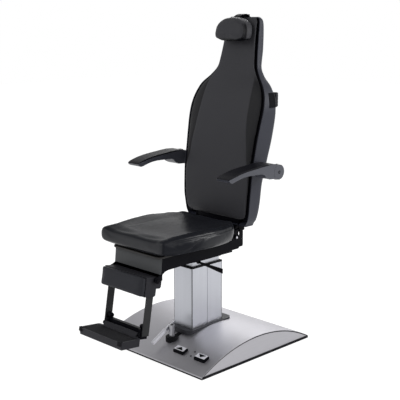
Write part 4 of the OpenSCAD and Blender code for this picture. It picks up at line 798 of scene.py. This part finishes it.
class CHAIR_OT_foot_controls(bpy.types.Operator):
    """Foot buttons with their caps and arrows, the indicators and the swivel lock"""

    bl_idname = "chair.foot_controls"
    bl_label = "Foot controls"

    def execute(self, context):
        low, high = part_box("switch_housings")
        middle = (low.y + high.y) / 2
        slope = -middle / math.sqrt(arch()[0] ** 2 - middle**2)
        foot = high.z - 0.012

        def tilted(co):
            """Tilts what stands above the cover to the slope of the cover."""
            lift = 0.001 + 0.8 * slope * (co.y - middle)
            return Vector((co.x, co.y, co.z + lift * ease(foot - 0.001, foot + 0.002, co.z)))

        edged("switch_housings", "black_plastic", 1.4, 3, shape=tilted)
        for node, body, turn in (("pedal_up", "button_up", 1), ("pedal_down", "button_down", -1)):
            edged(node, "black_plastic", 1.2, 3, shape=tilted)
            low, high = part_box(node)
            inset, top = 0.0008, high.z + HAIR
            cap = block((low.x + inset, low.y + inset, top - 0.0018), (high.x - inset, high.y - inset, top))
            reshape(cap, tilted)
            fitting(node + "_cap", cap, body, "silver", 0.7, 3)
            self.arrow(node + "_arrow", body, (low + high) / 2, top, turn, tilted)
        edged("lock_post", "dull", 1.0)
        low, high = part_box("lock_post")
        plug = drum(0.0085, 0.001, ((low.x + high.x) / 2, LOCK_Y, high.z + 0.0002), sides=6)
        fitting("post_socket", plug, "base", "rubber", 0.2)
        edged("post_ring", "rubber", 2.5, 3)
        edged("lever_pin", "bright", 0.6)
        edged("lock_pedal", "bright", 1.6, 3)
        self.tongue()
        self.sleeve()
        self.stud("indicator_rear", 0.197, -0.275)
        self.stud("indicator_front", 0.1985, -0.304)
        return {"FINISHED"}

    def arrow(self, name, body, middle, top, turn, tilted):
        """A black triangle let into the top of a button."""
        half, tall, sunk, proud = 0.0235, 0.0095, 0.0004, 0.0003
        corners = [(-half, -tall * turn), (half, -tall * turn), (0, tall * turn)]
        rings = [
            [tilted(Vector((middle.x + x, middle.y + y, z))) for x, y in corners]
            for z in (top - sunk, top + proud)
        ]
        fitting(name, loft(rings), body, "black_plastic", 0.15)

    def tongue(self):
        """Rubber tongue between the ring of the post and the column's collar."""
        low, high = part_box("post_ring")
        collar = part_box("column_collar")[0].y
        front, rear, sunk = low.y + 0.058, collar + 0.004, 0.001
        points = [
            (front, arch_height(front) - sunk), (rear, arch_height(collar) - sunk),
            (rear, arch_height(collar) + 0.007), (front - 0.002, high.z - 0.004),
        ]
        fitting("ring_tongue", bar(points, 0.002, 0.026), "base", "rubber", 1.6, 3)

    def sleeve(self):
        """Fuller light grey sleeve on the treading end of the lock's bar."""
        tilt, pivot = math.radians(29), (0, LOCK_Y, 0.13)
        turn = Matrix.Translation(pivot) @ Matrix.Rotation(tilt, 4, "X")
        work = block((-0.0205, -0.1225, -0.0082), (-0.0032, -0.024, 0.0082), turn)
        fitting("pedal_sleeve", work, "lock_lever", "silver", 3.0, 4)

    def stud(self, name, x, y):
        """A small dark stud in the cover beside the buttons."""
        radius, proud = 0.0042, 0.0022
        work = drum(radius, 2 * proud, (x, y, arch_height(y)), sides=32)
        fitting(name, work, "base", "black_plastic", 1.2, 3)


def arch():
    """Radius of the arched cover and the height of its centre, in metres."""
    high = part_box("base_cover")[1]
    rise = high.z - PLATE_TOP
    radius = (high.y**2 + rise**2) / (2 * rise)
    return radius, high.z - radius


def arch_height(y):
    """Height of the arched cover at a place in front of or behind the middle, in metres."""
    radius, centre = arch()
    return centre + math.sqrt(radius**2 - y**2)


class CHAIR_OT_seat_frame(bpy.types.Operator):
    """Painted steel frame under the seat, with its shafts, gas spring and release lever"""

    bl_idname = "chair.seat_frame"
    bl_label = "Seat frame"

    def execute(self, context):
        for node, finish, radius in (
            ("side_plate_left", "frame_paint", 0.9),
            ("side_plate_right", "frame_paint", 0.9),
            ("hinge_bracket_left", "frame_paint", 0.8),
            ("hinge_bracket_right", "frame_paint", 0.8),
            ("seat_base", "frame_paint", 0.8),
            ("front_crossbar", "frame_paint", 0.8),
            ("apron", "apron_paint", 0.6),
            ("seat_board", "wood", 0.8),
            ("leg_shaft", "frame_paint", 0.7),
            ("gas_spring_barrel", "frame_paint", 0.8),
            ("gas_spring_rod", "bright", 0.5),
            ("release_lever", "black_plastic", 1.6),
            ("recline_shaft", "frame_paint", 0.6),
        ):
            edged(node, finish, radius)
        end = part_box("recline_shaft")[1].x + HAIR
        for name, side in SIDES:
            work = drum(0.0055, 0.003, (side * end, PIVOT_Y * MM, PIVOT_Z * MM), SIDEWAYS, 40)
            fitting("shaft_end_" + name, work, "back", "bright", 0.8, 3)
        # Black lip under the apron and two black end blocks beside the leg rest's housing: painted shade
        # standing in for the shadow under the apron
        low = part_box("apron")[0]
        inner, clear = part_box("side_plate_left")[0].x - HAIR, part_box("leg_housing")[1].x + HAIR
        lip = block((-inner, low.y + 0.002, low.z - 0.0125), (inner, low.y + 0.0055, low.z + 0.006))
        fitting("apron_shade_lip", lip, "seat", "black_plastic", 0.6)
        for name, side in SIDES:
            work = side_block(
                side, (clear, low.y + 0.001, low.z - 0.028), (inner, low.y + 0.009, low.z - 0.001)
            )
            fitting("shade_lip_end_" + name, work, "seat", "black_plastic", 0.3)
        return {"FINISHED"}


class CHAIR_OT_seat_cushion(bpy.types.Operator):
    """Dished seat cushion, blown up as cloth and sewn"""

    bl_idname = "chair.seat_cushion"
    bl_label = "Seat cushion"

    def execute(self, context):
        sizes = context.scene.chair_sizes
        low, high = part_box("seat_cushion")
        depth, width = sizes.seam_depth, sizes.seam_width

        def held(vertex):
            return vertex.co.z < low.z + 0.006

        def shape(co):
            """Fills out the rear edge and the sides of the top, and rounds the rear corners."""
            share, side = (co.y - low.y) / (high.y - low.y), abs(co.x) / high.x
            up = ease(low.z + 0.03, high.z - 0.01, co.z)
            rear = ease(0.9, 0.985, share) * 0.010
            wing = ease(0.6, 0.9, side) * (0.007 - 0.006 * ease(0.55, 0.8, share))
            wide = 1 + 0.02 * (1 - ease(0, 0.1, share)) - 0.06 * ease(0.86, 1.0, share)
            pulled = 0.016 * ease(0.6, 1.0, side) * ease(0.8, 1.0, share)
            return Vector((co.x * wide, co.y - pulled, co.z + (rear + wing) * up))

        def push(co, normal):
            side = abs(co.x) / high.x
            rim = high.z - 0.016
            edge = seam(co.z - rim, depth, width) * ease(0.4, 0.8, abs(normal.x) + abs(normal.y))
            edge *= ease(low.y + 0.02, low.y + 0.12, co.y) * ease(0.75, 0.9, side)
            return edge + side_creases(co, normal) + pocket(co, normal)

        def shine(vertex):
            """How much the front and the rear of the sides shine."""
            share = (vertex.co.y - low.y) / (high.y - low.y)
            outward = ease(0.3, 0.8, abs(vertex.normal.x))
            ahead = ease(0.3, 0.8, -vertex.normal.y)
            fresh = ease(0.28, 0.6, share + (vertex.co.z - low.z - 0.04) * 3)
            return max(outward * fresh, ahead * (1 - outward)) * (1 - ease(0.5, 0.9, vertex.normal.z))

        piece = cushion(
            "seat_cushion", "seat_upholstery", "seat_vinyl", sizes.seat_mesh, sizes.seat_swell, held, push,
            ease_steps=3, start=0.002, shape=shape,
        )
        mark(piece, "gloss", shine)
        return {"FINISHED"}


def pocket(co, normal):
    """Shallow hollow behind the front edge of the seat, and the crest beside it."""
    if normal.z < 0.5:
        return 0.0
    across, along = co.x / 0.075, (co.y + 0.462) / 0.022
    hollow = math.exp(-((abs(across) - 1.2) ** 2) - along**2)
    crest = math.exp(-((abs(across) - 1.2) ** 2) - (along - 2.2) ** 2)
    return (0.0025 * crest - 0.004 * hollow) * ease(0.5, 0.8, normal.z)


def side_creases(co, normal):
    """Drawn creases of the vinyl on the sides of the seat, ahead of its middle."""
    if abs(normal.x) < 0.4:
        return 0.0
    total = 0.0
    for y, z, turn, reach, depth in (
        (-0.30, 0.590, 0.5, 0.035, 0.0050), (-0.27, 0.606, 0.42, 0.03, 0.0045),
        (-0.33, 0.580, 0.3, 0.04, 0.0030),
    ):
        along = (co.y - y) * math.cos(turn) + (co.z - z) * math.sin(turn)
        across = (co.z - z) * math.cos(turn) - (co.y - y) * math.sin(turn)
        total += seam(across, depth, 0.009) * math.exp(-((along / reach) ** 2))
    return total * ease(0.4, 0.8, abs(normal.x))


class CHAIR_OT_back_cushion(bpy.types.Operator):
    """Back cushion with its middle panel and two wings, blown up as cloth and sewn"""

    bl_idname = "chair.back_cushion"
    bl_label = "Back cushion"

    def execute(self, context):
        sizes = context.scene.chair_sizes
        depth, width = sizes.seam_depth * 0.6, sizes.seam_width * 0.8

        def line(co):
            """Half width of the middle panel at a point's height."""
            return BACK_HALF_W * MM * curve(BACK_PANEL, back_share(co.z))

        def held(vertex):
            front = -vertex.normal.y
            return front < -0.5 or (front > 0.4 and abs(abs(vertex.co.x) - line(vertex.co)) < 0.004)

        def push(co, normal):
            if normal.y > -0.3:
                return 0.0
            span = ease(0.03, 0.12, back_share(co.z)) * (1 - ease(0.66, 0.74, back_share(co.z)))
            return seam(abs(co.x) - line(co), depth, width) * span

        def shape(co):
            """Lifts the foot a little, leaves a gap to the shell and sets the neck forward."""
            share = back_share(co.z)
            ahead = 0.006 * ease(0.68, 0.78, share) * (1 - ease(0.93, 1.0, share))
            return Vector((co.x * 0.975, co.y - ahead, co.z + 0.012 * (1 - ease(0.0, 0.14, share))))

        def wing(vertex):
            """1 outside the lines of the middle panel and 0 on it, at the foot and at the neck: where the
            wings' painted shade goes.
            """
            share = back_share(vertex.co.z)
            side = ease(-0.002, 0.003, abs(vertex.co.x) - line(vertex.co))
            return side * ease(0.02, 0.09, share) * (1 - ease(0.68, 0.73, share))

        piece = cushion(
            "back_cushion", "back_upholstery", "back_vinyl", sizes.back_mesh, sizes.back_swell, held, push,
            ease_steps=3, start=0.002, shape=shape,
        )
        # Marks the wings for their painted shade
        mark(piece, "wing", wing)
        return {"FINISHED"}


class CHAIR_OT_back_shell(bpy.types.Operator):
    """Moulded shell round the back, its board, arms, shaft, push bar and bands"""

    bl_idname = "chair.back_shell"
    bl_label = "Back shell"

    def execute(self, context):
        lip = context.scene.chair_sizes.shell_lip
        piece = new_object("shell_moulding", shell_mesh(lip))
        low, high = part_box("arm_shaft")
        sleeve, clear = 0.02, 0.002
        cutters = [drum(sleeve + clear, 0.6, (low + high) / 2, SIDEWAYS, 64)]
        for name, _ in SIDES:
            low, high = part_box("back_arm_" + name)
            cutters.append(block((low.x - clear, 0.04, 0.5885), (high.x + clear, 0.1175, 0.651)))
        low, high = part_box("headrest_strap")
        cutters.append(block((low.x - clear, 0.2605, 1.5665), (high.x + clear, 0.2855, 1.7)))
        cut_out(piece, cutters)
        smooth_faces(piece, 40)
        finish_piece(piece, "back", "shell", ["back_shell"])
        for node, finish, radius in (
            ("back_board", "wood", 0.5),
            ("back_arm_left", "frame_paint", 0.8),
            ("back_arm_right", "frame_paint", 0.8),
            ("arm_shaft", "bright", 0.8),
        ):
            edged(node, finish, radius)
        coat("headrest_guide", "frame_paint")
        edged("push_bar", "black_plastic", 2.0, 3)
        self.bar_ends()
        self.shade_flap()
        for name, side in SIDES:
            self.shade_band(name, side)
        for name, side in SIDES:
            self.shade_gusset(name, side)
        for name, side in SIDES:
            self.bar_bracket(name, side)
        return {"FINISHED"}

    def shade_flap(self):
        """Black flap under the back cushion that closes the view through to the rear: painted shade standing
        in for the shadow in the gap between the seat and the back.
        """
        foot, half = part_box("back_cushion")[0].z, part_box("back_arm_left")[0].x - 0.002
        work = block((-half, 0.0745, foot - 0.048), (half, 0.0785, foot + 0.018))
        fitting("foot_flap", work, "back", "black_plastic", 1.2, 3)

    def shade_gusset(self, name, side):
        """Black filling of a back arm's foot, between the hinge bracket and the shell: painted shade standing
        in for the shadow there.
        """
        low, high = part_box("back_arm_left")
        inset = 0.0005
        work = side_block(side, (low.x + inset, 0.07, 0.578), (high.x - inset, 0.118, 0.632))
        fitting("arm_gusset_" + name, work, "back", "black_plastic", 1.0)

    def shade_band(self, name, side):
        """Black band that closes the gap between the back cushion and the rim of the shell: painted shade
        standing in for the shadow in that gap.
        """
        rings, rows, width, behind, thick = [], 60, 0.026, 0.004, 0.003
        for k in range(rows + 1):
            share = 0.012 + 0.972 * k / rows
            half, rim, _ = shell_section(share, SHELL_WALL - 1)
            y0, y1 = rim + behind, rim + behind + thick
            corners = ((half, y0), (half, y1), (half - width, y1), (half - width, y0))
            rings.append([(side * x, y, (BACK_Z0 + BACK_H * share) * MM) for x, y in corners])
        fitting("gasket_" + name, loft(rings), "back", "black_plastic")

    def bar_bracket(self, name, side):
        """Black bracket that wraps the rear corner of the shell at one end of the push bar."""
        low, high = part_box("push_bar")
        thick, rows, wrapped = 0.003, 8, slice(2, 12)
        rings = []
        for k in range(rows + 1):
            z = low.z + 0.008 + (high.z - low.z - 0.003) * k / rows
            half, rim, rear = shell_section(back_share(z), 0)
            inner = shell_path(half, rim, rear, SHELL_CORNER * MM)[wrapped]
            outer = shell_path(half + thick, rim, rear + thick, SHELL_CORNER * MM + thick)[wrapped]
            rings.append([(side * x, y, z) for x, y in inner + list(reversed(outer))])
        fitting("bar_bracket_" + name, loft(rings, strip_cap), "back", "black_plastic", 0.8, 2, 50)

    def bar_ends(self):
        """Ribbed grey end pieces of the push bar."""
        low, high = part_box("push_bar")
        ribs, inset, groove = 9, 0.004, 0.0016
        y0, y1, z0, z1 = high.y - 0.018, high.y + 0.001, low.z + inset, high.z - inset
        step = (z1 - z0) / ribs
        rows = [(y0, z0)]
        for k in range(ribs):
            z = z0 + k * step
            rows += [(y1, z), (y1, z + step * 0.55), (y1 - groove, z + step * 0.6), (y1 - groove, z + step)]
        rows.append((y0, z1))
        for name, side in SIDES:
            work = bar(rows, *span(side, high.x - 0.03, high.x + 0.0012))
            fitting("bar_grip_" + name, work, "back", "charcoal", 0.5)


class CHAIR_OT_armrests(bpy.types.Operator):
    """Both armrests with their pads and hub caps"""

    bl_idname = "chair.armrests"
    bl_label = "Armrests"

    def execute(self, context):
        radius = context.scene.chair_sizes.arm_round / MM
        for name, side in SIDES:
            edged("armrest_" + name, "armrest", radius, 4, 40)
            edged("arm_pad_" + name, "arm_pad", 2.2, 4, 40)
            cap = "hub_cap_" + name
            edged(cap, "armrest", 0.7, 3, 40, shape=grown(cap, (1, CAP_GROWTH, CAP_GROWTH)))
            self.trim(name, side)
        return {"FINISHED"}

    def trim(self, name, side):
        """Black ring in the groove behind the cap and dark washer round its screw."""
        low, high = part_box("hub_cap_" + name)
        middle = (low + high) / 2
        outer = max(abs(low.x), abs(high.x)) - 0.001
        ring = (high.z - low.z) / 2 * CAP_GROWTH + 0.0018
        for part, x, width, size in (
            ("groove_ring_", outer - 0.017, 0.0085, ring), ("screw_washer_", outer, 0.0008, 0.0078),
        ):
            work = drum(size, width, (side * x, middle.y, middle.z), SIDEWAYS, 64)
            fitting(part + name, work, "arm_" + name, "rubber", 0.25)


class CHAIR_OT_headrest(bpy.types.Operator):
    """Head cushion and the strap that carries it"""

    bl_idname = "chair.headrest"
    bl_label = "Headrest"

    def execute(self, context):
        sizes = context.scene.chair_sizes
        low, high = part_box("headrest_cushion")
        middle, lean = (low + high) / 2, math.atan(0.19)

        def depth(co):
            """How far a point lies behind the middle of the cushion, along its lean."""
            return (co.y - middle.y) * math.cos(lean) - (co.z - middle.z) * math.sin(lean)

        def side_only(co):
            """1 on the sides of the cushion and 0 near its top."""
            return 1 - ease(high.z - 0.038, high.z - 0.018, co.z)

        def held(vertex):
            return vertex.normal.y > 0.8

        def wing(vertex):
            """1 in the band round the cushion's side and under it: black painted shadow in the band and
            painted shade under the cushion.
            """
            behind = depth(vertex.co)
            band = ease(-0.034, -0.03, behind) * (1 - ease(-0.01, -0.006, behind))
            return max(band * side_only(vertex.co), ease(0.4, 0.8, -vertex.normal.z))

        def push(co, normal):
            return seam(depth(co) + 0.021, 0.0045, 0.009) * ease(0.055, 0.075, abs(co.x)) * side_only(co)

        def shape(co):
            """Tapers the cushion towards its top and makes it fuller at its front and its foot."""
            lower = 1 - ease(low.z, middle.z, co.z)
            wide = 1.07 - 0.17 * ease(low.z + 0.03, high.z, co.z)
            return Vector((co.x * wide, co.y - 0.003 * (co.y < middle.y), co.z - 0.005 * lower))

        piece = cushion(
            "headrest_cushion", "head_upholstery", "head_vinyl", sizes.pad_mesh, sizes.pad_swell, held,
            push, ease_steps=7, shape=shape,
        )
        # Marks the band and the underside for their painted shadow and shade
        mark(piece, "wing", wing)
        edged("headrest_strap", "frame_paint", 0.5)
        self.cover()
        return {"FINISHED"}

    def cover(self):
        """Vinyl sleeve over the strap, from the top of the cushion over the top of the shell."""
        half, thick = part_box("headrest_strap")[1].x + 0.003, 0.0035
        path = [(0.192, 1.594), (0.206, 1.6045), (0.222, 1.6125), (0.24, 1.617), (0.258, 1.6175),
                (0.27, 1.6145), (0.279, 1.609), (0.2835, 1.604)]
        inner = [(y, z - thick) for y, z in reversed(path)]
        fitting("strap_cover", bar(path + inner, -half, half), "headrest", "black_plastic", 1.2, 3, 45)


class CHAIR_OT_leg_rest(bpy.types.Operator):
    """Leg rest housing and pad, rails, crossbar, knobs and the footplate with its mat"""

    bl_idname = "chair.leg_rest"
    bl_label = "Leg rest"

    def execute(self, context):
        sizes = context.scene.chair_sizes

        def held(vertex):
            return (leg_frame().inverted() @ vertex.co).y > -0.058

        def shape(co):
            """Thickens the pad towards the front."""
            own, rear = leg_frame().inverted() @ co, -0.056
            own.y = rear + (own.y - rear) * 1.75
            return leg_frame() @ own

        cushion(
            "leg_pad", "leg_upholstery", "leg_vinyl", sizes.pad_mesh * 0.75, sizes.pad_swell * 0.5, held,
            lambda co, normal: 0.0, ease_steps=2, start=0.0005, shape=shape,
        )
        for node, finish, radius in (
            ("leg_housing", "charcoal", 2.0),
            ("rail_left", "rail_paint", 0.8),
            ("rail_right", "rail_paint", 0.8),
            # The crossbar's black stands in for the shadow on its front face under its lit top: painted shade
            ("footrest_crossbar", "black_plastic", 1.0),
            ("footplate", "charcoal", 2.5),
            ("foot_mat", "rubber", 0.4),
        ):
            edged(node, finish, radius, 3)
        for name, side in SIDES:
            self.clamp(name, side)
            self.bumper(name, side)
        return {"FINISHED"}

    def clamp(self, name, side):
        """Clamp of the crossbar on the inner face of a rail, with its knob."""
        body = side_block(side, (0.108, -0.038, -0.276), (0.1297, 0.004, -0.232), leg_frame())
        fitting("rail_clamp_" + name, body, "footrest", "black_plastic", 3.0, 3)
        turn = Matrix.Rotation(math.radians(68 * side), 4, "Y")
        knob = drum(0.0125, 0.024, (side * 0.1145, -0.015, -0.219), turn, 40)
        bmesh.ops.transform(knob, matrix=leg_frame(), verts=knob.verts)
        fitting("rail_knob_" + name, knob, "footrest", "black_plastic", 3.0, 3)

    def bumper(self, name, side):
        """Rubber bumper round a front corner of the footplate."""
        work = side_block(side, (0.126, -0.1712, -0.2915), (0.1478, -0.155, -0.2705), leg_frame())
        fitting("plate_bumper_" + name, work, "footplate", "rubber", 2.5, 3)


def leg_frame():
    """Place and tilt of the leg rest's own frame."""
    return Matrix.Translation((0, -0.473, 0.447)) @ Matrix.Rotation(math.radians(-9.7), 4, "X")


class CHAIR_OT_stage(bpy.types.Operator):
    """Floor, lights, surroundings and the camera"""

    bl_idname = "chair.stage"
    bl_label = "Stage"

    def execute(self, context):
        self.floor()
        self.surroundings()
        self.lamp("key", (3.4, 2.2, 2.6), 2.0, 85)
        self.lamp("fill", (-1.2, -3.6, 3.2), 2.4, 42)
        self.lamp("back", (-2.0, 3.2, 2.6), 2.0, 45)
        self.camera()
        return {"FINISHED"}

    def floor(self):
        """A wide pale floor that the camera sees as white, but for the object's shadow."""
        half = 14.0
        work = bmesh.new()
        corners = ((-half, -half), (half, -half), (half, half), (-half, half))
        work.faces.new([work.verts.new((x, y, 0)) for x, y in corners])
        piece = new_object("floor", work)
        made = Finish("floor", {"Roughness": 0.9, "Specular IOR Level": 0.1})
        made.shade("Base Color", made.blend((0.9, 0.9, 0.9), (0.93, 0.93, 0.93), made.noise(2, 2)))
        path = made.node("ShaderNodeLightPath", output="Is Camera Ray")
        mirror = made.node("ShaderNodeLightPath", output="Is Glossy Ray")
        glow = made.node("ShaderNodeEmission", {}, {"Color": (1, 1, 1, 1), "Strength": 1.3})
        body = Socket(made, made.shader.outputs[0])
        mixed = made.node("ShaderNodeMixShader", {}, {0: (path + mirror) * 0.7, 1: body, 2: glow})
        output = made.tree.nodes["Material Output"]
        made.feed(output.inputs["Surface"], mixed)
        piece.data.materials.append(made.material)

    def surroundings(self):
        """White to the camera, duller towards the top in reflections, and a soft level light on the rest."""
        world = bpy.data.worlds.new("studio")
        bpy.context.scene.world = world
        made = Graph(world)
        background = made.tree.nodes["Background"]
        made.feed(background.inputs["Color"], (1, 1, 1, 1))
        direction = made.node("ShaderNodeTexCoord", output="Generated")
        height = made.node("ShaderNodeSeparateXYZ", {}, {0: direction}, "Z")
        reflected = made.node("ShaderNodeMapRange", {}, {
            "Value": height, "From Min": 0.15, "From Max": 0.75, "To Min": 0.86, "To Max": 0.66,
        })
        level = 0.42
        for ray, strength in (("Glossy", reflected), ("Transmission", 1.0), ("Camera", 1.0)):
            seen = made.node("ShaderNodeLightPath", output="Is " + ray + " Ray")
            level = made.node("ShaderNodeMix", {}, {0: seen, 2: level, 3: strength})
        made.feed(background.inputs["Strength"], level)

    def point(self, thing, where, aim):
        """Puts a lamp or the camera in its place and turns it along a direction."""
        thing.location = where
        thing.rotation_mode = "QUATERNION"
        thing.rotation_quaternion = aim.to_track_quat("-Z", "Y")

    def lamp(self, name, where, size, power):
        """A square soft box that faces the chair."""
        light = bpy.data.lights.new(name, "AREA")
        light.size = size
        light.energy = power
        aim = Vector((0, -0.1, 0.7)) - Vector(where)
        self.point(place(name, light), where, aim)

    def camera(self):
        """The camera at the place from which the chair is seen."""
        scene = bpy.context.scene
        data = bpy.data.cameras.new("camera")
        data.sensor_width, data.lens = 36.0, 80.73
        data.clip_start, data.clip_end = 0.1, 60
        camera = place("camera", data)
        azimuth, elevation = math.radians(45.0575), math.radians(12.0797)
        back = Vector((
            math.sin(azimuth) * math.cos(elevation),
            -math.cos(azimuth) * math.cos(elevation),
            math.sin(elevation),
        ))
        self.point(camera, (3.02724, -3.06691, 1.64500), -back)
        scene.camera = camera
        scene.view_settings.view_transform = "Standard"


OPERATORS = (
    CHAIR_OT_base,
    CHAIR_OT_column,
    CHAIR_OT_foot_controls,
    CHAIR_OT_seat_frame,
    CHAIR_OT_seat_cushion,
    CHAIR_OT_back_cushion,
    CHAIR_OT_back_shell,
    CHAIR_OT_armrests,
    CHAIR_OT_headrest,
    CHAIR_OT_leg_rest,
    CHAIR_OT_stage,
)


class CHAIR_PT_panel(bpy.types.Panel):
    """The chair's pieces, sizes and colours in the sidebar"""

    bl_idname = "CHAIR_PT_panel"
    bl_label = "Examination chair"
    bl_space_type = "VIEW_3D"
    bl_region_type = "UI"
    bl_category = "Chair"

    def draw(self, context):
        for group in (context.scene.chair_sizes, context.scene.chair_colours):
            box = self.layout.box()
            for name in group.bl_rna.properties.keys():
                if name not in ("rna_type", "name"):
                    box.prop(group, name)
        for operator in OPERATORS:
            self.layout.operator(operator.bl_idname)


CLASSES = (ChairSizes, ChairColours, *OPERATORS, CHAIR_PT_panel)


def register():
    for each in CLASSES:
        bpy.utils.register_class(each)
    bpy.types.Scene.chair_sizes = bpy.props.PointerProperty(type=ChairSizes)
    bpy.types.Scene.chair_colours = bpy.props.PointerProperty(type=ChairColours)


def unregister():
    del bpy.types.Scene.chair_colours
    del bpy.types.Scene.chair_sizes
    for each in reversed(CLASSES):
        bpy.utils.unregister_class(each)


def main():
    """Builds every piece in order."""
    register()
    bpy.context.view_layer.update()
    make_finishes(bpy.context.scene.chair_colours)
    for operator in OPERATORS:
        group, name = operator.bl_idname.split(".")
        getattr(getattr(bpy.ops, group), name)()


if __name__ == "__main__":
    main()
